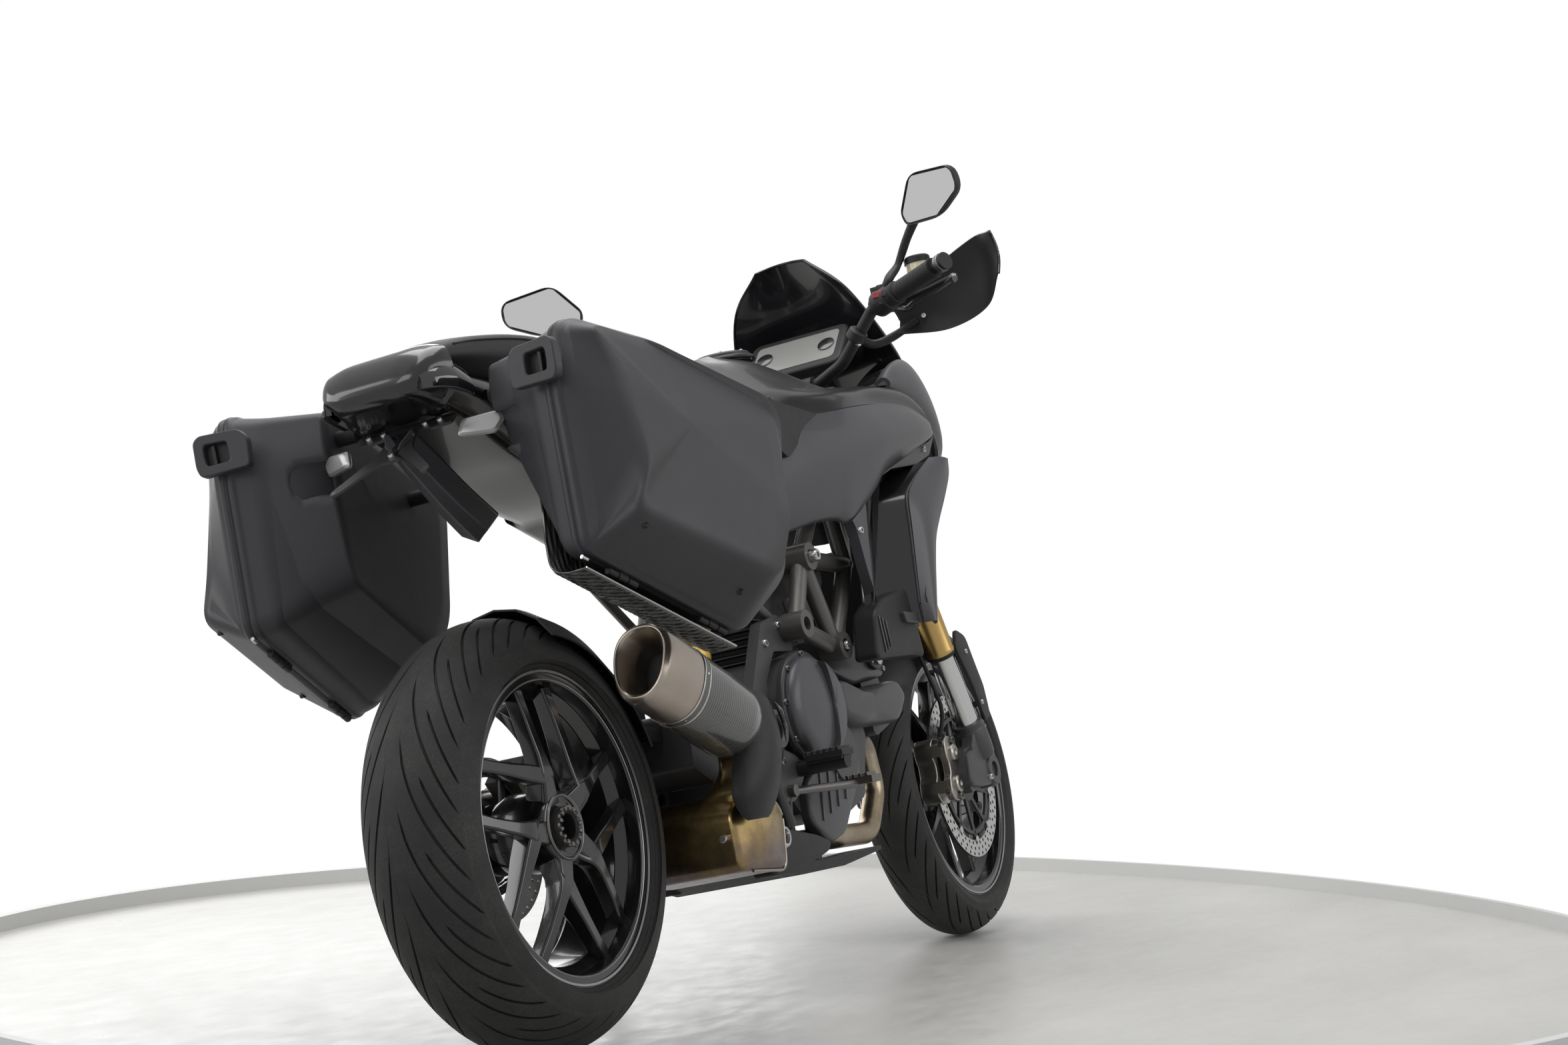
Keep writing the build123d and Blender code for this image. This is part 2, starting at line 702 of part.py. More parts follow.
def nose_fairing():
    """Beak between the side panels, flat behind the screen and hollowed round the fork."""
    sections = []
    for x, half, low, high in ((front_x - 200, 205, 900, 1075), (front_x - 100, 180, 890, 1065),
                               (front_x, 110, 905, 1010),
                               (front_x + 70, 40, 925, 965)):
        middle = (low + high) / 2
        sections.append(section(x, [(0, high), (half * 0.8, high - 15), (half, middle),
                                    (half * 0.7, low + 8),
                                    (0, low), (-half * 0.7, low + 8), (-half, middle),
                                    (-half * 0.8, high - 15)]))
    nose = loft(sections) - rod(along_axis(500), along_axis(1300), nose_bore)
    nose -= Pos(front_x - 160, 0, dash_z + 100) * Box(160, 600, 200)
    nose += both(rod((front_x - 98, 100, dash_z - 5), (front_x - 98, 100, dash_z + 16.5), 6))
    return nose - both(lamp_block(clearance))


def windscreen():
    """Smoked screen, bowed across and raked back."""
    sections = []
    for x, z, half, bow in ((front_x - 82, 1074, 160, 45), (front_x - 145, 1155, 160, 55),
                            (front_x - 220, 1262, 118, 40),
                            (front_x - 258, 1318, 50, 12)):
        plane = Plane(origin=(x, 0, z), x_dir=(0, 1, 0), z_dir=(-0.55, 0, 0.83))
        outer = ThreePointArc((-half, bow), (0, 0), (half, bow))
        inner = ThreePointArc((half, bow + 4), (0, 4), (-half, bow + 4))
        sections.append(plane * make_face([outer, Line(outer @ 1, inner @ 0), inner, Line(inner @ 1,
                                                                                          outer @ 0)]))
    return loft(sections)


def headlamps():
    return both(lamp_block(0))


def instrument():
    """Display housing on a stay that stands on the nose's flat."""
    plane = Plane(origin=(front_x - 268, 0, 1140), x_dir=(0, 1, 0), z_dir=(-0.7, 0, 0.7))
    box = extrude(plane * RectangleRounded(200, 110, 20), -30)
    return box + slab([(front_x - 268, 1115), (front_x - 240, 1112), (front_x - 130, dash_z),
                       (front_x - 178, dash_z)], -30, 30)


def belly_pan():
    return slab([(540, 206), (640, 182), (800, 182), (960, 196), (960, 203), (800, pan_top),
                 (640, pan_top), (544, 214)], -120, 120)


# Seat and tail ----------------------------------------------------------------------------

tail_front = 480
tail_half = 118
seat_base = ((-127, 984), (100, 972), (296, 922))


def plan(points, low, high):
    """Half of an outline seen from above, mirrored and drawn from z = low to z = high."""
    other = [(x, -y) for x, y in reversed(points)]
    return extrude(Pos(0, 0, low) * make_face(Polyline(*points, *other, close=True)), high - low)


def rider_seat():
    """Scooped seat, narrow at the tank and rising to the passenger's step."""
    start = (seat_base[2][0] + 4, 850 + clearance)
    top = Spline((345, 985), (368, 915), (450, 866), (600, 856), (686, 905), tangents=((0.1, -1),
                                                                                       (0.75, 0.6)))
    rest = Polyline((686, 905), (686, 815), (480, 796 + clearance), start, (345, 985))
    plane = Plane(origin=(0, 140, 0), x_dir=(1, 0, 0), z_dir=(0, -1, 0))
    body = extrude(plane * make_face(top + rest), 280)
    return body & plan([(290, 118), (400, 132), (560, 112), (690, 80)], 700, 1100)


def passenger_seat():
    """Padded step that narrows towards the tail."""
    room = slab([*seat_base, (335, 985), (335, 1200), (-131, 1200), (-131, 1030)], -140, 140)
    sections = []
    for x, half, crown in ((-140, 88, 1030), (-60, 108, 1043), (60, 120, 1056), (180, 124, 1050),
                           (290, 118, 1018),
                           (345, 112, 980)):
        shoulder = [(half * 0.55, crown - 4), (half * 0.9, crown - 20), (half, crown - 50),
                    (half * 0.9, 880)]
        sections.append(section(x, [(0, crown), *shoulder, (0, 870), *[(-y, z) for y,
                                                                       z in shoulder[::-1]]]))
    return loft(sections) & room


def tail_outside():
    top = [(x, z - clearance) for x, z in seat_base]
    side = slab([(-183, 950), (-195, 968), (-172, 1012), (-152, 1026), (-134, 1030),
                 (-129, 984), *top, (292, 850),
                 (tail_front, 796), (tail_front, 740), (250, 800), (60, 870),
                     (-110, 931)], -tail_half, tail_half)
    return side & plan([(-200, 78), (-160, 104), (-80, tail_half), (tail_front, tail_half)], 700, 1100)


def lamp_zone():
    return both(slab([(-178, 960), (-166, 1000), (-116, 978), (-100, 944)], 88, tail_half + 2))


def tail_fairing():
    """Closed tail unit under both seats, curled up behind the passenger."""
    return tail_outside() - lamp_zone()


def tail_lamps():
    return tail_outside() & lamp_zone()


def rear_subframe():
    """Tubes from the frame's upper lugs and the side plates back to the tail."""
    x, y, z = upper_lug
    boss = disc(x, plate_out - 10, z, 14, 20)
    side = boss + rod((x, plate_out - 10, z), (tail_front - 10, 110, 765), 10)
    side += rod((700, 118, 606), (tail_front - 10, 110, 752), 9)
    frame = both(side) + rod((560, -110, 750), (560, 110, 750), 10)
    frame -= Pos(tail_front + clearance - 100, 0, 760) * Box(200, 300, 200)
    return frame - side_plates()


def plate_bracket():
    """Spread-arm plate with a drilled bar across its top."""
    plane = Plane(origin=(-154, 0, 887), x_dir=(0, -1, 0), z_dir=(-0.66, 0, 0.75))
    plate = Rectangle(56, 60) + Pos(0, 42) * Rectangle(172, 26)
    for side in (-1, 1):
        arm = make_face(Polyline((side * 10, 30), (side * 28, 10), (side * 82, -66), (side * 76, -76),
                                 (side * 6, -24), close=True))
        plate += arm
        for x in (31, 66):
            plate -= Pos(side * x, 48) * Circle(3.5)
    plate += Pos(0, 60) * Rectangle(60, 20)
    plate -= Circle(7)
    return extrude(plane * plate, -4) - tail_fairing()


def rear_hugger():
    """Mudguard hugging the tyre, bolted to the swingarm's cross member."""
    ring = rear_radius - rear_crown
    outer = rear_crown + 16
    inner = rear_crown + 13
    points = [(outer * sin(radians(a)), ring + outer * cos(radians(a))) for a in range(-60, 61, 20)]
    points += [(inner * sin(radians(a)), ring + inner * cos(radians(a))) for a in range(60, -61, -20)]
    shell = spun(points, 0, rear_radius) & slab([(0, rear_radius), (40, rear_radius + 400),
                                                 (420, rear_radius + 400),
                                                       (420, rear_radius + 160)], -120, 120)
    return shell + slab([(rear_radius - 14, rear_radius + 135), (rear_radius - 8, rear_radius + 110),
                         (364.1, 430), (366, 452)], -60, 60)


def rider_pegs():
    peg = disc(650, (plate_out + 233) / 2, 352, 13, 233 - plate_out)
    pad = Pos(650, 200, 362) * Box(38, 64, 14)
    return both(peg + pad)


def foot_controls():
    """Brake pedal on the right and shift lever on the left, each on a stub from its plate."""
    stub = disc(600, -plate_out - 14, 318, 10, 28)
    right = stub + rod((600, -plate_out - 18, 318),
                       (765, -195, 312), 7) + Pos(768, -198, 316) * Box(38, 52, 12)
    left = mirrored(stub) + rod((600, plate_out + 18, 318), (758, 180, 332), 7)
    return right + left + rod((758, 168, 332), (758, 216, 332), 8)


def rear_caliper():
    """Two-piston body over the rear disc, on a post from the swingarm."""
    body = Box(86, 52, 50) - Pos(0, 0, -8) * Box(100, 12, 50) + Pos(0, 43, 0) * Rot(X=90) * Cylinder(12, 34)
    return Pos(0, 44, rear_radius) * Rot(Y=51) * Pos(0, 0, 108) * body


# Cases ------------------------------------------------------------------------------------

seam_outline = ((-152, 1002), (-180, 940), (-180, 690), (-168, 672), (128, 545), (255, 622), (318, 868),
                (296, 902), (52, 982), (-120, 1010))
face_outline = ((-122, 986), (-104, 915), (-110, 785), (-148, 716), (130, 610), (208, 704), (288, 850),
                (272, 878), (52, 960), (-98, 982))
back_outline = ((-134, 978), (-142, 930), (-122, 760), (-104, 726), (150, 625), (225, 680), (285, 850),
                (268, 880), (45, 958), (-118, 985))
arch_outline = ((-134, 978), (-142, 930), (-132, 856), (-108, 834), (150, 742), (236, 740), (285, 850),
                (268, 880), (45, 958), (-118, 985))
knee_outline = ((-145, 992), (-164, 936), (-148, 764), (-128, 742), (145, 632), (234, 678), (300, 858),
                (280, 889), (48, 969), (-119, 997))
case_depth = 146
knee_depth = 76
arch_depth = 100
face_depth = 234
face_tilt = (-0.111, -0.196)
hinge_start = Vector(-169.6, 668.3)
hinge_run = Vector(0.919, -0.394)
hinge_places = (64, 258)
knuckle = 20
barrel_radius = 6
pin_radius = 2.5
recess_at = (888, -131)
recess_radius = 19


def seam_plane():
    return Plane(origin=(0, -seam_half, 0), x_dir=(1, -case_yaw, 0), z_dir=(-case_yaw, -1, 0))


def case_point(along, up, out):
    return seam_plane().from_local_coords(Vector(along, up, out))


def case_section(outline, depth, inset=0, tilt=(0, 0)):
    """Outline of a case on a plane at its depth from the seam, leaned by tilt."""
    base = seam_plane()
    normal = base.z_dir - base.x_dir * tilt[0] - base.y_dir * tilt[1]
    plane = Plane(origin=case_point(0, 0, depth), x_dir=base.x_dir + base.z_dir * tilt[0], z_dir=normal)
    corners = []
    for along, up in outline:
        corner = plane.to_local_coords(case_point(along, up, depth + tilt[0] * along + tilt[1] * up))
        corners.append((corner.X, corner.Y))
    face = make_face(Polyline(*corners, close=True))
    return plane * (offset(face, -inset, kind=Kind.INTERSECTION) if inset else face)


def recess(grow):
    """Round-ended finger pocket in the rear of a case, open to its back."""
    up, out = recess_at
    radius = recess_radius + grow
    pocket = rod(case_point(-190, up, out), case_point(-122 + grow, up, out), radius)
    open_side = Box(68 + grow, 2 * radius, 40, align=(Align.MIN, Align.CENTER, Align.MAX))
    return pocket + seam_plane() * Pos(-190, up, out) * open_side


def hinge_rod(first, last, radius):
    """Round bar along the lid's hinge line, between two distances from its rear end."""
    start = hinge_start + hinge_run * first
    end = hinge_start + hinge_run * last
    return rod(case_point(start.X, start.Y, 0), case_point(end.X, end.Y, 0), radius)


def case_outside(far, bend):
    stages = [(seam_outline, lid_gap), (knee_outline, knee_depth), (far, bend), (far, case_depth)]
    return loft([case_section(outline, -depth) for outline, depth in stages], ruled=True)


def case_body(far, bend):
    """Hollow inner half with its finger pocket, hinge knuckles and pins."""
    stages = [(seam_outline, lid_gap), (knee_outline, knee_depth - case_wall), (far, bend - case_wall),
              (far, case_depth - case_wall)]
    inner = loft([case_section(outline, -depth, case_wall) for outline, depth in stages], ruled=True)
    body = case_outside(far, bend) - recess(0) - (inner - recess(case_wall))
    for place in hinge_places:
        body -= hinge_rod(place, place + knuckle, barrel_radius + clearance)
        body += hinge_rod(place - knuckle, place - clearance, barrel_radius)
        body += hinge_rod(place + knuckle + clearance, place + 2 * knuckle, barrel_radius)
        body += hinge_rod(place - knuckle, place + 2 * knuckle, pin_radius)
    return body


def latch_block():
    """Latch on the lid's rear edge, with a window for the finger."""
    shape = Polyline((-48, -22), (34, -28), (38, 24), (-34, 28), close=True)
    window = Rectangle(36, 28)
    plane = Plane(origin=case_point(-183.5, 944, -6), x_dir=seam_plane().z_dir, z_dir=-seam_plane().x_dir)
    block = extrude(plane * (make_face(shape) - window), 14)
    foot = Pos(-166, 944, 10) * Box(46, 46, 16)
    return block + seam_plane() * foot


def case_lid():
    """Hollow outer half with its sloping face, latch and hinge knuckles."""
    outer = loft([case_section(seam_outline, lid_gap), case_section(face_outline, face_depth, 0,
                                                                    face_tilt)],
                 ruled=True)
    inner = loft([case_section(seam_outline, lid_gap, case_wall),
                  case_section(face_outline, face_depth - case_wall, case_wall, face_tilt)], ruled=True)
    lid = outer + (latch_block() - outer) - inner
    for place in hinge_places:
        lid -= hinge_rod(place - knuckle - clearance, place, barrel_radius + clearance)
        lid -= hinge_rod(place + knuckle, place + 2 * knuckle + clearance, barrel_radius + clearance)
        lid += hinge_rod(place + clearance, place + knuckle - clearance, barrel_radius)
        lid -= hinge_rod(place, place + knuckle, pin_radius + clearance)
    return lid


def heat_shield():
    """Guard below the right-hand case, bent to stay clear of the muffler and hung on two posts."""
    profile = Polyline((6, -14), (4, -16), (-34, -16), (-62, -2), (-78, 36), (-90, 84), (-104, 128),
                       (-101, 130),
                       (-87, 85), (-75, 37), (-60, 1), (-33, -13), close=True)
    front = hinge_start + hinge_run * 322
    plane = Plane(origin=case_point(front.X, front.Y, 0), x_dir=seam_plane().z_dir,
                  z_dir=case_point(0, 0, 0) - case_point(hinge_run.X, hinge_run.Y, 0))
    shield = extrude(plane * make_face(profile), 322)
    for place in hinge_places:
        foot = hinge_start + hinge_run * (place - 40)
        shield += rod(case_point(foot.X, foot.Y - 15, -28), case_point(foot.X, foot.Y + 60, -28), 6)
    return shield - case_outside(arch_outline, arch_depth)


# Stand ------------------------------------------------------------------------------------


def stand_foot():
    """Where the foot meets the ground, carried back to the upright machine."""
    lift = rear_crown * (1 - cos(radians(lean)))
    ground = Vector(foot[0], foot[1], 10 - lift)
    turned = ground.rotate(Axis.X, lean)
    return turned


def side_stand():
    """Leg with an eye on the bracket's pin and a flat foot."""
    low = stand_foot()
    tilt = Plane(origin=stand_pivot, z_dir=stand_axis)
    leg = tilt * Cylinder(15, 25) + rod(stand_pivot, low, 11)
    leg += Plane(origin=low, z_dir=(0, -sin(radians(lean)), cos(radians(lean)))) * Cylinder(34, 20)
    return leg - tilt * Cylinder(7 + clearance, 60)


def case_carriers():
    """Posts from the tail's flanks to the backs of the cases."""
    back = seam_plane().offset(-case_depth)
    room = back * Pos(0, 0, 200) * Box(3000, 3000, 400)
    posts = disc(-60, -170, 945, 12, 104) + disc(170, -190, 870, 12, 144)
    return both(posts - room)


parts = {
    "rear_tyre": (tyre(rear_radius, rear_crown, rear_rim_radius, rear_rim_half, 0), False),
    "rear_rim": (rear_rim(), False),
    "rear_disc": (rear_disc(), False),
    "rear_sprocket": (rear_sprocket(), False),
    "front_tyre": (tyre(front_radius, front_crown, front_rim_radius, front_rim_half, front_x), True),
    "front_rim": (front_rim(), True),
    "front_discs": (front_discs(), True),
    "fork_outer_tubes": (fork_outer_tubes(), True),
    "fork_inner_tubes": (fork_inner_tubes(), True),
    "fork_feet": (fork_feet(), True),
    "fork_yokes": (fork_yokes(), True),
    "handlebar": (handlebar(), True),
    "grips": (grips(), True),
    "bar_controls": (bar_controls(), True),
    "hand_guards": (hand_guards(), True),
    "mirrors": (mirrors(), True),
    "mirror_glass": (mirror_glass(), True),
    "front_mudguard": (front_mudguard(), True),
    "front_calipers": (front_calipers(), True),
    "brake_hoses": (brake_hoses(), True),
    "trellis_frame": (trellis_frame(), False),
    "side_plates": (side_plates(), False),
    "engine": (engine(), False),
    "radiator": (radiator(), False),
    "swingarm": (swingarm(), False),
    "shock_absorber": (shock_absorber(), False),
    "drive_chain": (drive_chain(), False),
    "exhaust_box": (exhaust_box(), False),
    "header_pipes": (header_pipes(), False),
    "muffler": (muffler(), False),
    "muffler_end_cap": (muffler_end_cap(), False),
    "muffler_guard": (muffler_guard(), False),
    "fuel_tank": (fuel_tank(), False),
    "fuel_cap": (fuel_cap(), False),
    "side_fairing_right": (side_fairing(), False),
    "side_fairing_left": (mirrored(side_fairing()), False),
    "nose_fairing": (nose_fairing(), False),
    "windscreen": (windscreen(), False),
    "headlamps": (headlamps(), False),
    "instrument": (instrument(), False),
    "belly_pan": (belly_pan(), False),
    "rider_seat": (rider_seat(), False),
    "passenger_seat": (passenger_seat(), False),
    "tail_fairing": (tail_fairing(), False),
    "tail_lamps": (tail_lamps(), False),
    "rear_subframe": (rear_subframe(), False),
    "plate_bracket": (plate_bracket(), False),
    "rear_hugger": (rear_hugger(), False),
    "rider_pegs": (rider_pegs(), False),
    "foot_controls": (foot_controls(), False),
    "rear_caliper": (rear_caliper(), False),
    "case_carriers": (case_carriers(), False),
    "heat_shield": (heat_shield(), False),
    "case_body_right": (case_body(arch_outline, arch_depth), False),
    "case_body_left": (mirrored(case_body(back_outline, arch_depth)), False),
    "case_lid_right": (case_lid(), False),
    "case_lid_left": (mirrored(case_lid()), False),
    "side_stand": (side_stand(), False),
}

os.makedirs("parts", exist_ok=True)
for name, (shape, steered) in parts.items():
    export_step(parked(shape, steered), f"parts/{name}.step")
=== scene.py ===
import bpy
import bmesh
import json
import math
import numpy as np
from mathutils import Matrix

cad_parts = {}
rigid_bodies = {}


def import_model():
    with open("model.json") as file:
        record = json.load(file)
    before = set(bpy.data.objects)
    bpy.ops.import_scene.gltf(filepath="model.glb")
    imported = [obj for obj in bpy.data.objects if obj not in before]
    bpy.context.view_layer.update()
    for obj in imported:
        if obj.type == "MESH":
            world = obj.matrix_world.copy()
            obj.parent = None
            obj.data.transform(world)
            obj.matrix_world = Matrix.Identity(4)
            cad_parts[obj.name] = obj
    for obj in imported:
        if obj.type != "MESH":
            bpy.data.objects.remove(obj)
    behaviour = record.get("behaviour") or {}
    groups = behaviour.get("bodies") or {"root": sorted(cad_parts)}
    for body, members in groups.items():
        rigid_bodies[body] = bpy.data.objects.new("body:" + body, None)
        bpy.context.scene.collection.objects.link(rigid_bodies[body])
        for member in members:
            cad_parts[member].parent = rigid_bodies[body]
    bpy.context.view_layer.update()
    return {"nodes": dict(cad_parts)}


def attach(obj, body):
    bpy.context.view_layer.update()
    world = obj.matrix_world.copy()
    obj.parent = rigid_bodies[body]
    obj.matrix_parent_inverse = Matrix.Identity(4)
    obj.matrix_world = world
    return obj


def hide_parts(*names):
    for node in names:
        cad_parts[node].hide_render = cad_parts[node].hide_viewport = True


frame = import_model()
print("frame: loaded", len(frame["nodes"]), "nodes")

# How the machine stands: drawn upright in millimetres, then steered, leaned and shifted
stance = {
    "leanDegrees": 11.96,
    "steerDegrees": 2.4,
    "rakeDegrees": 25.0,
    "axisFoot": (1640.0, 0.0, 0.0),
    "shift": (-755.0, -211.6, 2.084),
}


def turned(points, foot, axis, degrees):
    # p cos a + (k x p) sin a + k (k.p)(1 - cos a), about the line through foot along k
    k = np.array(axis, float) / np.linalg.norm(axis)
    a = math.radians(degrees)
    p = np.asarray(points, float) - np.array(foot, float)
    out = p * math.cos(a) + np.cross(k, p) * math.sin(a) + np.outer(p @ k, k) * (1 - math.cos(a))
    return out + np.array(foot, float)


def placed(points, steered=False):
    # upright millimetres to the leaning machine in metres
    p = np.asarray(points, float).reshape(-1, 3)
    rake = math.radians(stance["rakeDegrees"])
    if steered:
        p = turned(p, stance["axisFoot"], (-math.sin(rake), 0, math.cos(rake)), stance["steerDegrees"])
    p = turned(p, (0, 0, 0), (1, 0, 0), -stance["leanDegrees"])
    return (p + np.array(stance["shift"])) / 1000


def gridFaces(rows, cols, wrapRows=False, wrapCols=False, start=0):
    # quads (i, j), (i, j+1), (i+1, j+1), (i+1, j) over a rows x cols lattice of indices
    i = np.arange(rows if wrapRows else rows - 1)[:, None]
    j = np.arange(cols if wrapCols else cols - 1)[None, :]
    i2, j2 = (i + 1) % rows, (j + 1) % cols
    quads = np.stack([i * cols + j, i * cols + j2, i2 * cols + j2, i2 * cols + j], -1)
    return (quads.reshape(-1, 4) + start).tolist()


def lofted(sections, capped=True, loop=False):
    # closed cross-sections stacked in order, skinned with quads, ends closed by one face each
    s = np.asarray(sections, float)
    rows, cols = s.shape[:2]
    faces = gridFaces(rows, cols, wrapRows=loop, wrapCols=True)
    if capped and not loop:
        faces += [list(range(cols))[::-1], list(range((rows - 1) * cols, rows * cols))]
    return s.reshape(-1, 3), faces


def bundle(*solids):
    # several solids as one list of points and faces
    points, faces, start = [], [], 0
    for p, f in solids:
        points.append(np.asarray(p, float))
        faces += [[k + start for k in face] for face in f]
        start += len(p)
    return np.concatenate(points), faces


def flipped(solid):
    # the same solid on the other side of the machine: y -> -y, faces turned round
    p, f = solid
    return np.asarray(p) * (1, -1, 1), [face[::-1] for face in f]


def bothSides(solid):
    # the solid with its mirror image, y -> -y
    return bundle(solid, flipped(solid))


def spline(points, steps=8, closed=False):
    # Catmull-Rom through the points: p = ((2b) + (c-a)t + (2a-5b+4c-d)t^2 + (3b-a-3c+d)t^3) / 2
    p = np.asarray(points, float)
    if closed:
        a, b, c, d = np.roll(p, 1, 0), p, np.roll(p, -1, 0), np.roll(p, -2, 0)
    else:
        ends = np.vstack([2 * p[:1] - p[1:2], p, 2 * p[-1:] - p[-2:-1]])
        a, b, c, d = ends[:-3], ends[1:-2], ends[2:-1], ends[3:]
    t = np.linspace(0, 1, steps, endpoint=False)[None, :, None]
    a, b, c, d = (q[:, None, :] for q in (a, b, c, d))
    rise, bend = 2 * a - 5 * b + 4 * c - d, 3 * b - a - 3 * c + d
    out = (2 * b + (c - a) * t + rise * t ** 2 + bend * t ** 3) / 2
    out = out.reshape(-1, p.shape[1])
    return out if closed else np.vstack([out, p[-1:]])


def rounded(points, radius, perCorner=7, perEdge=6):
    # closed polygon: straight runs joined at each corner by the curve a(1-t)^2 + 2b t(1-t) + c t^2
    p = np.asarray(points, float)
    before, after = np.roll(p, 1, 0) - p, np.roll(p, -1, 0) - p
    lb, la = np.linalg.norm(before, axis=1), np.linalg.norm(after, axis=1)
    r = np.broadcast_to(np.asarray(radius, float), lb.shape)
    cut = np.minimum(r, 0.47 * np.minimum(lb, la))[:, None]
    a, c = p + before / lb[:, None] * cut, p + after / la[:, None] * cut
    t = np.linspace(0, 1, perCorner)[None, :, None]
    corner = a[:, None] * (1 - t) ** 2 + 2 * p[:, None] * t * (1 - t) + c[:, None] * t ** 2
    if perEdge > 0:
        s = np.linspace(0, 1, perEdge + 2)[1:-1][None, :, None]
        nxt = np.roll(a, -1, 0)
        edge = c[:, None] * (1 - s) + nxt[:, None] * s
        corner = np.concatenate([corner, edge], 1)
    return corner.reshape(-1, p.shape[1])


def softRings(rings, reach, steps=5):
    # between rings each crease is rounded by the same curve, at most reach millimetres from it
    r = np.asarray(rings, float)
    out = [r[0]]
    for before, here, after in zip(r[:-2], r[1:-1], r[2:]):
        back, on = before - here, after - here
        lb = np.linalg.norm(back, axis=-1, keepdims=True)
        la = np.linalg.norm(on, axis=-1, keepdims=True)
        cut = np.minimum(reach, 0.45 * np.minimum(lb, la))
        a, c = here + back / np.maximum(lb, 1e-9) * cut, here + on / np.maximum(la, 1e-9) * cut
        out += [a * (1 - t) ** 2 + 2 * here * t * (1 - t) + c * t ** 2 for t in np.linspace(0, 1, steps)]
    return np.array(out + [r[-1]])


def between(first, second, count):
    # count rings evenly from first up to, but not at, second
    t = np.linspace(0, 1, count, endpoint=False)[:, None, None]
    return np.asarray(first)[None] * (1 - t) + np.asarray(second)[None] * t


def tube(path, radius, sides=14, smooth=0, up=(0, 0, 1), squash=1.0):
    # circle of the given radius carried along the path, square to it
    p = spline(path, smooth) if smooth else np.asarray(path, float)
    t = np.gradient(p, axis=0)
    t /= np.linalg.norm(t, axis=1, keepdims=True)
    side = np.cross(t, np.array(up, float))
    side /= np.linalg.norm(side, axis=1, keepdims=True)
    top = np.cross(side, t)
    radii = np.atleast_1d(np.asarray(radius, float))
    r = np.interp(np.linspace(0, 1, len(p)), np.linspace(0, 1, len(radii)), radii)
    a = np.linspace(0, 2 * math.pi, sides, endpoint=False)
    ring = side[:, None] * np.cos(a)[None, :, None] + top[:, None] * np.sin(a)[None, :, None] * squash
    return lofted(p[:, None] + ring * r[:, None, None])


def lathed(profile, centre=(0, 0, 0), axis="y", sides=64, turn=0.0, part=2 * math.pi):
    # profile of (radius, along) turned about the axis; a radius of nought makes a closed pole
    q = np.asarray(profile, float)
    full = part > 2 * math.pi - 1e-6
    a = np.linspace(0, part, sides, endpoint=not full)[:, None] + turn
    r, s = q[None, :, 0], q[None, :, 1] + 0 * a
    u, v = r * np.cos(a), r * np.sin(a)
    order = {"y": (u, s, v), "x": (s, u, v), "z": (u, v, s)}[axis]
    grid = np.stack(order, -1) + np.array(centre, float)
    faces = gridFaces(*grid.shape[:2], wrapRows=full, wrapCols=True)
    return grid.reshape(-1, 3), faces


def aimed(solid, origin, along, up=(0, 0, 1)):
    # a solid drawn about Z from the origin, set down at origin with its Z along the given line
    p, f = solid
    z = np.array(along, float) / np.linalg.norm(along)
    x = np.cross(np.array(up, float), z)
    if np.linalg.norm(x) < 1e-6:
        x = np.array((1.0, 0, 0))
    x /= np.linalg.norm(x)
    y = np.cross(z, x)
    return np.asarray(p) @ np.stack([x, y, z]) + np.array(origin, float), f


def rodBetween(start, end, radius, sides=20, chamfer=0.0):
    # round bar from start to end, its ends broken by a small chamfer
    start, end = np.array(start, float), np.array(end, float)
    length = float(np.linalg.norm(end - start))
    c = min(chamfer, radius * 0.4)
    profile = [(0, 0), (radius - c, 0), (radius, c), (radius, length - c), (radius - c, length),
               (0, length)]
    return aimed(lathed(profile, axis="z", sides=sides), start, end - start)


rightSideView = ((0, 0, 0), (1, 0, 0), (0, 0, 1), (0, -1, 0))  # origin, along, up, outward


def prism(outline, low, high, frameOf=None):
    # outline in two directions carried through a thickness; frameOf gives origin and three directions
    o = np.asarray(outline, float)
    n = len(o)
    if frameOf is None:
        frameOf = ((0, 0, 0), (1, 0, 0), (0, 0, 1), (0, 1, 0))
    origin, u, v, w = (np.array(q, float) for q in frameOf)
    flat = origin + o[:, :1] * u + o[:, 1:] * v
    points = np.concatenate([flat + low * w, flat + high * w])
    faces = [list(range(n)), list(range(n, 2 * n))[::-1]] + gridFaces(2, n, wrapCols=True)
    return points, faces


def boxAt(centre, size, frameOf=None):
    # plain block, softened later by its Bevel
    a, b, c = (s / 2 for s in size)
    p, f = prism([(-a, -b), (a, -b), (a, b), (-a, b)], -c, c, ((0, 0, 0), (1, 0, 0), (0, 1, 0), (0, 0, 1)))
    if frameOf is not None:
        p = p @ np.array(frameOf, float)
    return p + np.array(centre, float), f


def bolt(origin, along, radius):
    # button head with a round socket: a profile turned in twelve steps
    h = radius * 0.7
    pocket = radius * 0.45
    profile = [(0, -h), (radius, -h), (radius, h * 0.55), (radius * 0.86, h), (pocket, h),
               (pocket * 0.95, h * 0.25), (0, h * 0.25)]
    return aimed(lathed(profile, axis="z", sides=12), origin, along)


def facedOut(mesh):
    # doubles merged, then every face turned away from the inside
    bm = bmesh.new()
    bm.from_mesh(mesh)
    bmesh.ops.remove_doubles(bm, verts=bm.verts, dist=1e-6)
    bmesh.ops.recalc_face_normals(bm, faces=bm.faces)
    bm.to_mesh(mesh)
    bm.free()


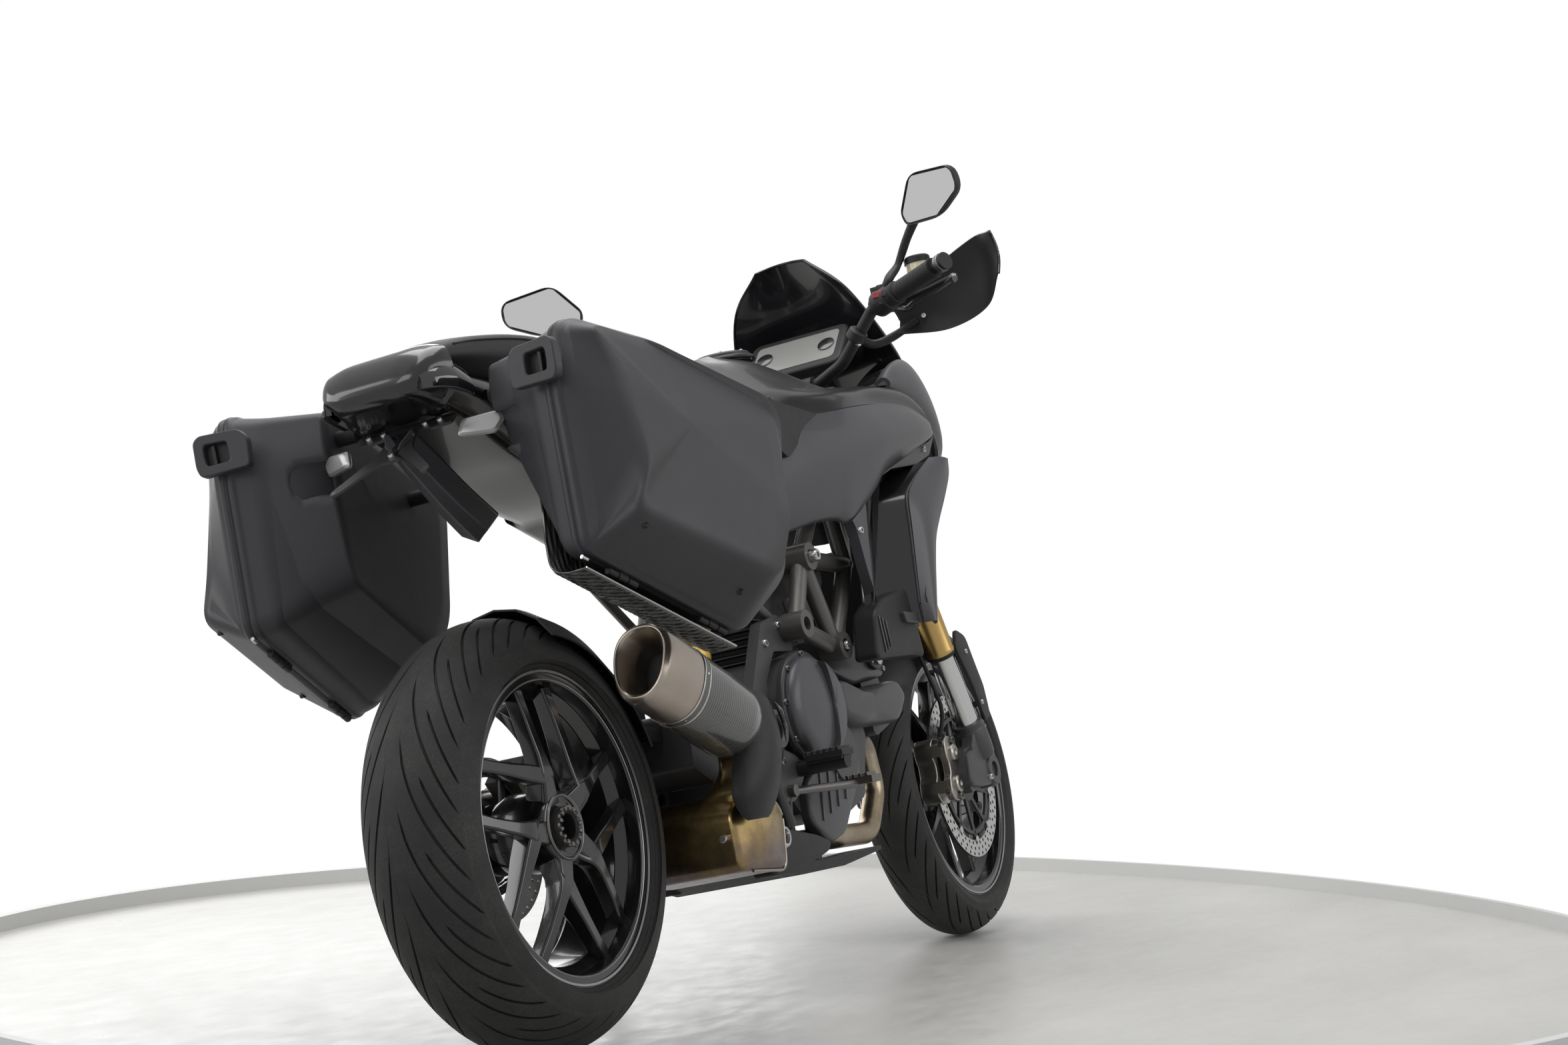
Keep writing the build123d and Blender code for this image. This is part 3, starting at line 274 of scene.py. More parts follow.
def piece(name, solid, material, body="chassis", bevel=0.0, segments=2, sharp=35, replaces=()):
    # makes the mesh, turns its faces outward, gives it a material and lets it ride on a body
    points, faces = solid
    mesh = bpy.data.meshes.new(name)
    mesh.from_pydata(placed(points, body in ("fork", "front_wheel")).tolist(), [], faces)
    facedOut(mesh)
    mesh.polygons.foreach_set("use_smooth", np.ones(len(mesh.polygons), bool))
    if sharp:
        mesh.set_sharp_from_angle(angle=math.radians(sharp))
    obj = bpy.data.objects.new(name, mesh)
    bpy.context.scene.collection.objects.link(obj)
    mesh.materials.append(finishes[material])
    if bevel:
        mod = obj.modifiers.new("Bevel", "BEVEL")
        mod.width = bevel / 1000
        mod.segments = segments
        mod.limit_method = "ANGLE"
        mod.angle_limit = math.radians(32)
    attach(obj, body)
    if replaces:
        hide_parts(*replaces)
    return obj


def dress(node, material):
    # a CAD node keeps its shape and gets the finish
    mesh = frame["nodes"][node].data
    mesh.materials.clear()
    mesh.materials.append(material)


def link(tree, *pairs):
    # joins each pair (output, input)
    for a, b in pairs:
        tree.links.new(a, b)


def feed(tree, socket, value):
    # a number or a colour is set, an output is linked
    if isinstance(value, (int, float, tuple)):
        socket.default_value = value
    else:
        tree.links.new(value, socket)


def mathNode(tree, kind, *inputs):
    # one arithmetic node on its inputs
    n = tree.nodes.new("ShaderNodeMath")
    n.operation = kind
    for k, value in enumerate(inputs):
        feed(tree, n.inputs[k], value)
    return n.outputs[0]


def newGroup(name, inputs, outputs):
    # a node group with inputs (name, kind, value) and outputs (name, kind)
    group = bpy.data.node_groups.new(name, "ShaderNodeTree")
    for label, kind, value in inputs:
        socket = group.interface.new_socket(name=label, in_out="INPUT", socket_type="NodeSocket" + kind)
        if value is not None:
            socket.default_value = value
    for label, kind in outputs:
        group.interface.new_socket(name=label, in_out="OUTPUT", socket_type="NodeSocket" + kind)
    return group, group.nodes.new("NodeGroupInput"), group.nodes.new("NodeGroupOutput")


def noise(tree, vector, scale, detail=4.0, rough=0.55):
    # fractal noise at the given scale
    n = tree.nodes.new("ShaderNodeTexNoise")
    n.inputs["Detail"].default_value = detail
    n.inputs["Roughness"].default_value = rough
    tree.links.new(vector, n.inputs["Vector"])
    feed(tree, n.inputs["Scale"], scale)
    return n.outputs["Fac"]


def ranged(tree, value, low, high, toLow, toHigh):
    # toLow + (toHigh - toLow) (value - low) / (high - low), kept between both ends
    n = tree.nodes.new("ShaderNodeMapRange")
    for k, v in zip(("Value", "From Min", "From Max", "To Min", "To Max"),
                    (value, low, high, toLow, toHigh)):
        feed(tree, n.inputs[k], v)
    return n.outputs["Result"]


def mixColour(tree, factor, a, b):
    # a (1 - factor) + b factor
    n = tree.nodes.new("ShaderNodeMix")
    n.data_type = "RGBA"
    for k, v in ((0, factor), (6, a), (7, b)):
        feed(tree, n.inputs[k], v)
    return n.outputs[2]


def buildSurfaceLife():
    # grain for the bump, broad mottling of colour and gloss, lighter dust where the surface faces up
    g, i, o = newGroup("surfaceLife", [
        ("Vector", "Vector", None), ("Base", "Color", (0.05, 0.05, 0.05, 1)),
        ("Worn", "Color", (0.1, 0.1, 0.1, 1)),
        ("Grain Scale", "Float", 900.0), ("Mottle Scale", "Float", 6.0), ("Mottle", "Float", 0.4),
        ("Roughness", "Float", 0.5), ("Roughness Spread", "Float", 0.08), ("Dust", "Float", 0.05)],
        [("Colour", "Color"), ("Roughness", "Float"), ("Height", "Float")])
    fine = noise(g, i.outputs["Vector"], i.outputs["Grain Scale"], 3.0, 0.6)
    broad = noise(g, i.outputs["Vector"], i.outputs["Mottle Scale"], 5.0, 0.6)
    streak = noise(g, i.outputs["Vector"], 38.0, 6.0, 0.7)
    wear = mathNode(g, "MULTIPLY", ranged(g, broad, 0.35, 0.75, 0.0, 1.0), i.outputs["Mottle"])
    colour = mixColour(g, wear, i.outputs["Base"], i.outputs["Worn"])
    normal = g.nodes.new("ShaderNodeNewGeometry")
    split = g.nodes.new("ShaderNodeSeparateXYZ")
    g.links.new(normal.outputs["Normal"], split.inputs[0])
    up = ranged(g, split.outputs[2], 0.35, 1.0, 0.0, 1.0)
    dust = mathNode(g, "MULTIPLY", mathNode(g, "MULTIPLY", up, ranged(g, streak, 0.4, 0.7, 0.2, 1.0)),
                    i.outputs["Dust"])
    dusty = mixColour(g, dust, colour, (0.34, 0.33, 0.31, 1))
    half = mathNode(g, "SUBTRACT", streak, 0.5)
    swing = mathNode(g, "MULTIPLY", half, i.outputs["Roughness Spread"])
    rough = mathNode(g, "ADD", i.outputs["Roughness"], swing)
    link(g, (dusty, o.inputs["Colour"]), (rough, o.inputs["Roughness"]), (fine, o.inputs["Height"]))
    return g


surfaceLife = buildSurfaceLife()


def finish(name, base, worn=None, rough=0.5, spread=0.1, metal=0.0, coat=0.0, coatRough=0.05, grain=900.0,
           bump=0.05, mottle=0.35, mottleScale=6.0, dust=0.04, specular=0.5, extra=None):
    # one shader with the shared surface life, each finish with its own values
    m = bpy.data.materials.new(name)
    m.use_nodes = True
    t = m.node_tree
    s = t.nodes["Principled BSDF"]
    coords = t.nodes.new("ShaderNodeTexCoord")
    life = t.nodes.new("ShaderNodeGroup")
    life.node_tree = surfaceLife
    worn = worn or tuple(min(1, c * 1.5 + 0.004) for c in base)
    for key, value in (("Base", (*base, 1)), ("Worn", (*worn, 1)), ("Grain Scale", grain),
                       ("Mottle Scale", mottleScale), ("Mottle", mottle), ("Roughness", rough),
                       ("Roughness Spread", spread), ("Dust", dust)):
        life.inputs[key].default_value = value
    b = t.nodes.new("ShaderNodeBump")
    b.inputs["Strength"].default_value = bump
    b.inputs["Distance"].default_value = 0.0008
    link(t, (coords.outputs["Object"], life.inputs["Vector"]),
         (life.outputs["Colour"], s.inputs["Base Color"]), (life.outputs["Roughness"], s.inputs["Roughness"]),
         (life.outputs["Height"], b.inputs["Height"]), (b.outputs["Normal"], s.inputs["Normal"]))
    s.inputs["Metallic"].default_value = metal
    s.inputs["Specular IOR Level"].default_value = specular
    s.inputs["Coat Weight"].default_value = coat
    s.inputs["Coat Roughness"].default_value = coatRough
    if extra:
        extra(t, s, coords, life, b)
    return m


def carbonWeave(t, s, coords, life, b):
    # two by two twill: floor(u) - floor(v) over four picks which thread lies on top
    u = t.nodes.new("ShaderNodeGroup")
    u.node_tree = twill
    t.links.new(coords.outputs["Object"], u.inputs["Vector"])
    u.inputs["Thread"].default_value = 0.0022
    colour = mixColour(t, u.outputs["Mask"], life.outputs["Colour"], (0.11, 0.11, 0.105, 1))
    link(t, (colour, s.inputs["Base Color"]), (u.outputs["Mask"], b.inputs["Height"]))


def buildTwill():
    # threads crossing at right angles, each over two and under two, stepped by one each row
    g, i, o = newGroup("twillWeave", [("Vector", "Vector", None), ("Thread", "Float", 0.002)],
                       [("Mask", "Float")])
    split = g.nodes.new("ShaderNodeSeparateXYZ")
    g.links.new(i.outputs["Vector"], split.inputs[0])
    x, z = split.outputs[0], split.outputs[2]
    across = mathNode(g, "DIVIDE", mathNode(g, "ADD", x, mathNode(g, "MULTIPLY", z, 0.45)),
                      i.outputs["Thread"])
    along = mathNode(g, "DIVIDE", mathNode(g, "SUBTRACT", z, mathNode(g, "MULTIPLY", x, 0.45)),
                     i.outputs["Thread"])
    step = mathNode(g, "SUBTRACT", mathNode(g, "FLOOR", across), mathNode(g, "FLOOR", along))
    phase = mathNode(g, "FLOORED_MODULO", step, 4.0)
    g.links.new(mathNode(g, "LESS_THAN", phase, 1.5), o.inputs["Mask"])
    return g


twill = buildTwill()


def heatTint(t, s, coords, life, b):
    # straw, then brown, then blue along a warped height, as welded steel colours when it is hot
    warp = noise(t, coords.outputs["Object"], 9.0, 4.0, 0.6)
    split = t.nodes.new("ShaderNodeSeparateXYZ")
    t.links.new(coords.outputs["Object"], split.inputs[0])
    along = mathNode(t, "ADD", mathNode(t, "MULTIPLY", split.outputs[2], 4.2),
                     mathNode(t, "MULTIPLY", warp, 0.9))
    along = mathNode(t, "SUBTRACT", along, mathNode(t, "MULTIPLY", split.outputs[0], 1.6))
    ramp = t.nodes.new("ShaderNodeValToRGB")
    stops = [(0.0, (0.30, 0.23, 0.15)), (0.22, (0.36, 0.30, 0.21)), (0.42, (0.20, 0.17, 0.16)),
             (0.55, (0.15, 0.13, 0.17)), (0.68, (0.28, 0.20, 0.11)), (0.82, (0.52, 0.38, 0.16)),
             (1.0, (0.22, 0.16, 0.09))]
    ramp.color_ramp.elements[0].position, ramp.color_ramp.elements[1].position = 0.0, 1.0
    for place, colour in stops[1:-1]:
        ramp.color_ramp.elements.new(place)
    for e, (place, colour) in zip(ramp.color_ramp.elements, stops):
        e.color = (*colour, 1)
    t.links.new(ranged(t, along, 0.9, 2.7, 0.0, 1.0), ramp.inputs[0])
    grime = noise(t, coords.outputs["Object"], 30.0, 8.0, 0.7)
    dirty = mixColour(t, ranged(t, grime, 0.45, 0.75, 0.0, 0.45), ramp.outputs[0], (0.07, 0.06, 0.05, 1))
    t.links.new(dirty, s.inputs["Base Color"])


def scuffedRubber(t, s, coords, life, b):
    # pale road dust held by the pores of the rubber
    pores = noise(t, coords.outputs["Object"], 260.0, 5.0, 0.75)
    film = noise(t, coords.outputs["Object"], 11.0, 5.0, 0.65)
    amount = mathNode(t, "MULTIPLY", ranged(t, film, 0.4, 0.7, 0.05, 0.5),
                      ranged(t, pores, 0.4, 0.62, 0.2, 1.0))
    t.links.new(mixColour(t, amount, life.outputs["Colour"], (0.075, 0.072, 0.068, 1)),
                s.inputs["Base Color"])


finishes = {
    "caseShell": finish("caseShellPlastic", (0.030, 0.030, 0.034), (0.045, 0.044, 0.048), 0.46, 0.14,
                        grain=1500, bump=0.22, dust=0.05, specular=0.4),
    "blackPlastic": finish("blackMouldedPlastic", (0.012, 0.012, 0.013), None, 0.5, 0.16, grain=1300,
                           bump=0.25, dust=0.03, specular=0.35),
    "blackGloss": finish("glossBlackPaint", (0.006, 0.006, 0.007), None, 0.22, 0.06, coat=0.6, grain=300,
                         bump=0.01, dust=0.02, specular=0.4),
    "wheelBlack": finish("wheelGlossBlack", (0.007, 0.007, 0.008), None, 0.2, 0.08, coat=0.5, grain=400,
                         bump=0.02, dust=0.03, specular=0.45),
    "satinGrey": finish("satinDarkGreyPaint", (0.050, 0.050, 0.056), (0.056, 0.055, 0.060), 0.40, 0.06,
                        coat=0.12, grain=500, bump=0.02, dust=0.03, specular=0.45),
    # satin black: the tank's black band and the fuel cap collar, and over the tank's slope and crown a
    # painted reflection
    "bandBlackAndPaintedReflection": finish("satinBlackBandAndPaintedReflection", (0.014, 0.014, 0.015), None, 0.33, 0.06, coat=0.2, grain=500,
                        bump=0.02, dust=0.02, specular=0.45),
    "castGrey": finish("castGreyPaint", (0.062, 0.062, 0.066), (0.045, 0.044, 0.045), 0.45, 0.16,
                       metal=0.25, grain=700, bump=0.2, dust=0.05),
    "frameGrey": finish("frameTubePaint", (0.115, 0.110, 0.106), (0.08, 0.077, 0.074), 0.38, 0.1, metal=0.5,
                        grain=600, bump=0.1, dust=0.05),
    "rubber": finish("tyreRubber", (0.018, 0.018, 0.018), (0.028, 0.027, 0.026), 0.62, 0.2, grain=800,
                     bump=0.25, dust=0.02, specular=0.3, extra=scuffedRubber),
    "softRubber": finish("softBlackRubber", (0.014, 0.014, 0.015), None, 0.6, 0.1, grain=900, bump=0.2,
                         dust=0.04, specular=0.3),
    "titanium": finish("brushedTitanium", (0.42, 0.37, 0.32), (0.30, 0.25, 0.21), 0.30, 0.14, metal=1.0,
                       grain=260, bump=0.06, mottle=0.6, dust=0.0),
    "heatSteel": finish("heatTintedSteel", (0.35, 0.28, 0.2), None, 0.30, 0.2, metal=1.0, grain=200,
                        bump=0.12, dust=0.0, extra=heatTint),
    "carbon": finish("carbonFibre", (0.018, 0.018, 0.018), None, 0.26, 0.05, coat=0.8, bump=0.1, dust=0.02,
                     extra=carbonWeave),
    "steel": finish("brightSteel", (0.55, 0.55, 0.54), (0.42, 0.41, 0.4), 0.26, 0.12, metal=1.0, grain=500,
                    bump=0.05, dust=0.0),
    "darkSteel": finish("darkZincSteel", (0.16, 0.155, 0.15), None, 0.36, 0.12, metal=1.0, grain=500,
                        bump=0.08, dust=0.02),
    "chrome": finish("hardChrome", (0.62, 0.62, 0.62), (0.5, 0.5, 0.5), 0.14, 0.05, metal=1.0, grain=200,
                     bump=0.01, dust=0.0, mottle=0.2),
    "gold": finish("goldAnodised", (0.50, 0.34, 0.13), (0.40, 0.27, 0.1), 0.28, 0.08, metal=1.0, grain=500,
                   bump=0.04, dust=0.02),
    "nickel": finish("nickelCaliper", (0.44, 0.42, 0.38), (0.3, 0.29, 0.26), 0.3, 0.14, metal=1.0,
                     grain=700, bump=0.16, dust=0.03),
    "anodisedBlack": finish("anodisedBlackPlate", (0.045, 0.045, 0.047), None, 0.42, 0.08, metal=0.6,
                            grain=900, bump=0.06, dust=0.03),
    "springYellow": finish("yellowDamper", (0.55, 0.36, 0.04), (0.42, 0.27, 0.03), 0.35, 0.1, metal=0.5,
                           grain=500, bump=0.04, dust=0.02),
    "smoked": finish("smokedLens", (0.010, 0.009, 0.012), None, 0.08, 0.02, coat=1.0, coatRough=0.02,
                     grain=200, bump=0.0, dust=0.0),
    "screenTint": finish("smokedScreen", (0.010, 0.010, 0.012), None, 0.16, 0.04, coat=0.7, coatRough=0.04,
                         grain=300, bump=0.01, dust=0.02),
    "seatCover": finish("seatVinyl", (0.013, 0.013, 0.014), (0.022, 0.021, 0.021), 0.5, 0.14, grain=420,
                        bump=0.35, dust=0.04, specular=0.35),
    "mirror": finish("mirrorGlass", (0.80, 0.80, 0.81), (0.78, 0.78, 0.79), 0.03, 0.0, metal=1.0, grain=50,
                     bump=0.0, dust=0.0, mottle=0.2),
    "display": finish("displayGlass", (0.24, 0.24, 0.23), (0.22, 0.22, 0.21), 0.2, 0.02, coat=0.5,
                      grain=200, bump=0.0, dust=0.0),
    "fluid": finish("brakeFluidPot", (0.62, 0.58, 0.38), (0.55, 0.5, 0.26), 0.3, 0.05, coat=0.3, grain=200,
                    bump=0.0, dust=0.0),
    "redSwitch": finish("redSwitchCap", (0.22, 0.02, 0.025), None, 0.4, 0.05, grain=600, bump=0.05,
                        dust=0.02),
    # silver: on the rim lips a painted highlight, on the tail flaps and guard marks silver trim
    "silverTrimAndHighlight": finish("silverTrimAndPaintedHighlight", (0.30, 0.30, 0.30), None, 0.3, 0.05, metal=0.6, grain=600,
                         bump=0.02, dust=0.0),
}
print("finishes:", len(finishes))


view = {"place": (-4.146, -2.241, 0.680), "turn": (91.30, 0.0, -63.78), "lens": 62.6}
camera = bpy.data.objects.new("camera", bpy.data.cameras.new("camera"))
camera.location = view["place"]
camera.rotation_euler = [math.radians(v) for v in view["turn"]]
camera.data.lens = view["lens"]
camera.data.sensor_width = 36
bpy.context.scene.collection.objects.link(camera)
bpy.context.scene.camera = camera
bpy.context.scene.view_settings.view_transform = "Standard"

lights = {
    # name: (place, aims at, size, watts)
    "overhead": ((-0.2, 0.2, 3.6), (0, 0, 0.5), (3.6, 2.6), 95),
    "farWall": ((2.9, 3.4, 1.9), (0, 0, 0.7), (4.5, 2.6), 70),
    "rightSide": ((0.6, -4.0, 2.3), (0, 0, 0.7), (3.4, 1.8), 42),
    "leftSide": ((-2.4, 3.2, 2.0), (0, 0, 0.7), (2.6, 1.8), 45),
    "behind": ((-4.4, 0.6, 2.4), (0, 0, 0.6), (2.4, 1.4), 26),
}


def aimLamp(name, place, target, size, watts):
    # area lamp turned so that its -Z runs from place to target
    data = bpy.data.lights.new(name, "AREA")
    data.shape = "RECTANGLE"
    data.size, data.size_y = size
    data.energy = watts
    lamp = bpy.data.objects.new(name, data)
    way = np.array(target, float) - np.array(place, float)
    lamp.location = place
    lamp.rotation_euler = (math.atan2(math.hypot(way[0], way[1]), -way[2]), 0,
                           math.atan2(way[1], way[0]) - math.pi / 2)
    lamp.visible_camera = False
    bpy.context.scene.collection.objects.link(lamp)


for lampName, lampValues in lights.items():
    aimLamp(lampName, *lampValues)

world = bpy.data.worlds.new("studio")
bpy.context.scene.world = world
world.use_nodes = True
wt = world.node_tree
rays = wt.nodes.new("ShaderNodeLightPath")
sky = wt.nodes["Background"]
shown = mathNode(wt, "MAXIMUM", rays.outputs["Is Camera Ray"], rays.outputs["Is Transmission Ray"])
glossy = mathNode(wt, "MULTIPLY", rays.outputs["Is Glossy Ray"], 0.62)
level = mathNode(wt, "MAXIMUM", mathNode(wt, "MAXIMUM", shown, glossy), 0.42)
sky.inputs["Color"].default_value = (1, 1, 1, 1)
wt.links.new(level, sky.inputs["Strength"])

floorSize = {"centre": (0.376, -0.014), "radius": 1.56, "skirtHeight": 0.03, "skirtWidth": 0.02}


def buildFloor():
    # flat disc closed at its middle, and a low skirting ring round its edge
    cx, cy = floorSize["centre"]
    r, h, w = floorSize["radius"], floorSize["skirtHeight"], floorSize["skirtWidth"]
    for name, profile, material in (
            ("floorDisc", [(0, -0.02), (r, -0.02), (r, 0), (r * 0.5, 0), (0, 0)], floorMaterial()),
            ("floorSkirt", [(r, 0), (r + w, 0), (r + w, h), (r, h)], skirtMaterial())):
        p, f = lathed(profile, (cx, cy, 0), "z", 160)
        mesh = bpy.data.meshes.new(name)
        mesh.from_pydata(p.tolist(), [], f)
        facedOut(mesh)
        obj = bpy.data.objects.new(name, mesh)
        mesh.materials.append(material)
        bpy.context.scene.collection.objects.link(obj)


def floorMaterial():
    # pale grey screed, faintly marbled and scuffed, with a soft sheen
    m = bpy.data.materials.new("paleFloor")
    m.use_nodes = True
    t = m.node_tree
    s = t.nodes["Principled BSDF"]
    c = t.nodes.new("ShaderNodeTexCoord")
    stretch = t.nodes.new("ShaderNodeMapping")
    stretch.inputs["Scale"].default_value = (1.0, 2.6, 1.0)
    stretch.inputs["Rotation"].default_value = (0, 0, 0.46)
    t.links.new(c.outputs["Object"], stretch.inputs[0])
    cloud = noise(t, stretch.outputs[0], 1.4, 6.0, 0.6)
    scuff = noise(t, stretch.outputs[0], 9.0, 8.0, 0.7)
    tone = mixColour(t, ranged(t, cloud, 0.35, 0.7, 0.0, 1.0), (0.50, 0.495, 0.475, 1),
                     (0.58, 0.575, 0.555, 1))
    worn = mixColour(t, ranged(t, scuff, 0.62, 0.8, 0.0, 0.5), tone, (0.7, 0.695, 0.68, 1))
    t.links.new(worn, s.inputs["Base Color"])
    t.links.new(ranged(t, scuff, 0.3, 0.8, 0.26, 0.5), s.inputs["Roughness"])
    s.inputs["Specular IOR Level"].default_value = 0.35
    return m


def skirtMaterial():
    # plain matt grey
    m = bpy.data.materials.new("skirting")
    m.use_nodes = True
    s = m.node_tree.nodes["Principled BSDF"]
    s.inputs["Base Color"].default_value = (0.62, 0.62, 0.61, 1)
    s.inputs["Roughness"].default_value = 0.6
    return m


buildFloor()
print("stage: camera, lights and floor")


wheelSizes = {
    "rear": {"x": 0, "radius": 320, "crown": 96, "rim": 231, "half": 79, "treadEdge": 98, "pitches": 19,
             "sweep": 250, "start": 9, "grooveHalf": 2.1, "grooveDepth": 4.5},
    "front": {"x": 1530, "radius": 300, "crown": 60, "rim": 231, "half": 48, "treadEdge": 68, "pitches": 17,
              "sweep": -190, "start": 6, "grooveHalf": 1.9, "grooveDepth": 4.0},
}


def smoothStep(value, low, high):
    # 3t^2 - 2t^3 between low and high
    t = np.clip((value - low) / (high - low), 0, 1)
    return t * t * (3 - 2 * t)


def tyreSurface(size):
    # stations run along c = c0 + sweep ((|s| - start) / span)^0.62, so that each groove is a grid line
    crown, ring = size["crown"], size["radius"] - size["crown"]
    s = np.linspace(-crown * 1.38, crown * 1.38, 121)
    away = np.abs(s)
    last = size["treadEdge"]
    span = last - size["start"]
    share = np.clip((away - size["start"]) / span, 0, 1)
    drift = size["sweep"] * share ** 0.62
    slope = np.abs(np.gradient(drift, s))
    wide = size["grooveHalf"] * np.minimum(np.sqrt(1 + slope ** 2), 5)
    n = size["pitches"]
    run = 2 * math.pi * size["radius"] / n
    main = smoothStep(away, size["start"], size["start"] + 9) * (1 - smoothStep(away, last - 14, last))
    short = smoothStep(away, last * 0.42, last * 0.5) * (1 - smoothStep(away, last - 6, last + 2))
    right = s < 0
    first, second = np.where(right, main, short), np.where(right, short, main)
    # eight stations a groove: rim, wall, floor, floor, wall, rim and a flat beyond on each side
    marks = np.array([-1.5, -1.0, -0.62, 0.62, 1.0, 1.5])
    floor = np.array([0, 0, 1, 1, 0, 0])
    columns = []
    depths = []
    for groove, phase in ((first, 0.0), (second, 0.5)):
        reach = np.maximum(wide * np.sqrt(np.maximum(groove, 0.02)), 0.4)
        columns.append(run * phase + marks[:, None] * reach[None])
        depths.append(floor[:, None] * groove[None])
        middle = run * (phase + 0.25) + np.array([-0.08, 0.0, 0.08])[:, None] * run + 0 * s[None]
        columns.append(middle)
        depths.append(np.zeros((3, len(s))))
    column, depth = np.concatenate(columns), np.concatenate(depths)
    k = np.arange(n)[:, None, None] * run
    c = (k + column[None] + drift[None, None]).reshape(-1, len(s))
    sunk = np.tile(depth, (n, 1)) * size["grooveDepth"]
    turn = c / size["radius"] + math.pi / 2
    phi = s / crown
    shoulder = 0.9 * (smoothStep(away, last + 3, last + 5))
    r = ring + (crown - sunk - shoulder) * np.cos(phi)
    y = (crown - sunk - shoulder) * np.sin(phi) + 0 * c
    half, rim = size["half"], size["rim"]
    edge = float(y[0, -1])
    low = [(edge * 0.985, rim + 16), (half + 5, rim + 9), (half + 5.5, rim + 6), (half + 1.2, rim + 3),
           (half - 7, rim - 2), (half - 20, rim - 10)]
    inner = [(crown * 0.86 * math.sin(a), ring + crown * 0.86 * math.cos(a))
             for a in np.radians((62, 40, 20))]
    tail = low + inner + [(0, ring + crown * 0.86)]
    tail = tail + [(-q, w) for q, w in tail[-2::-1]]
    tailY, tailR = np.array(tail).T
    y = np.concatenate([y, np.broadcast_to(tailY, (len(c), len(tail)))], 1)
    r = np.concatenate([r, np.broadcast_to(tailR, (len(c), len(tail)))], 1)
    turn = np.concatenate([turn, np.linspace(0, 1, len(tail))[None] * (turn[:, :1] - turn[:, -1:])
                           + turn[:, -1:]], 1)
    grid = np.stack([size["x"] + r * np.cos(turn), y, size["radius"] + r * np.sin(turn)], -1)
    return grid.reshape(-1, 3), gridFaces(*grid.shape[:2], wrapRows=True, wrapCols=True)


for wheelEnd in ("rear", "front"):
    piece(wheelEnd + "TyreTread", tyreSurface(wheelSizes[wheelEnd]), "rubber", wheelEnd + "_wheel", sharp=50,
          replaces=[wheelEnd + "_tyre"])


def rimProfile(rim, half, wall=6):
    # lip, bead seat, well and back again, then the under side
    seat, well = rim - 13, rim - 29
    side = [(half - 2.4, rim - 1.2), (half - 0.6, rim + 0.6), (half - 2.2, rim + 1.6),
            (half - 5.5, rim + 0.4), (half - 7, seat + 3), (half - 9, seat), (half - 26, seat),
            (half - 36, well)]
    under = [(half - 41, well - wall), (half - 27, seat - wall - 1), (half - 10, seat - wall),
             (half - 4, seat - wall + 1), (half - 1.6, seat - wall + 5), (half - 1.6, rim - 6)]
    loop = side + [(-y, r) for y, r in side[::-1]] + [(-y, r) for y, r in under[::-1]] + under
    return [(r, y) for y, r in loop]


def sectionBar(path, width, depth, chamfer=3.0):
    # chamfered bar along a path in the wheel's plane, its outer face; its depth lies along the axle
    p = np.asarray(path, float)
    t = np.gradient(p, axis=0) * (1, 0, 1)
    t /= np.linalg.norm(t, axis=1, keepdims=True)
    across = np.cross(t, (0, 1, 0))
    w = np.interp(np.linspace(0, 1, len(p)), np.linspace(0, 1, len(width)), width)[:, None] / 2
    d = np.interp(np.linspace(0, 1, len(p)), np.linspace(0, 1, len(depth)), depth)[:, None]
    c = np.minimum(chamfer, w * 0.4)
    u = np.stack([-w + c, w - c, w, w * 0.86, w * 0.7, -w * 0.7, -w * 0.86, -w], 1)
    v = np.stack([0 * d, 0 * d, c + 0 * d, d * 0.7, d, d, d * 0.7, c + 0 * d], 1)
    grid = p[:, None] + across[:, None] * u + np.array((0, 1, 0)) * v
    return lofted(grid)


def polar(radius, degrees, y, centre):
    # (r cos a, y, r sin a) from the centre
    a = np.radians(degrees)
    return np.stack([centre[0] + np.asarray(radius) * np.cos(a), np.asarray(y, float),
                     centre[2] + np.asarray(radius) * np.sin(a)], -1)


def forkedSpokes(centre, first, stem, knee, rimAt, back, ahead, faceY, widths, depths):
    # each arm leaves the hub, and forks at the knee into two prongs that meet the rim apart
    solids = []
    for k in range(5):
        at = first + 72 * k
        straight = polar([stem, knee * 0.66, knee, (knee + rimAt) / 2, rimAt],
                         [at + 5, at + 2, at, at + back * 0.62, at + back], faceY, centre)
        solids.append(sectionBar(spline(straight, 5), widths[0], depths))
        kneeAt = polar([knee * 0.9], [at + 3], [faceY[2]], centre)[0]
        end = polar([rimAt], [at + ahead], [faceY[4]], centre)[0]
        root = polar([stem + 6], [at + 10], [faceY[1]], centre)[0]
        t = np.linspace(0, 1, 5)[:, None]
        branch = np.vstack([root[None], kneeAt * (1 - t) + end * t])
        solids.append(sectionBar(branch, widths[1], depths))
    return bundle(*solids)


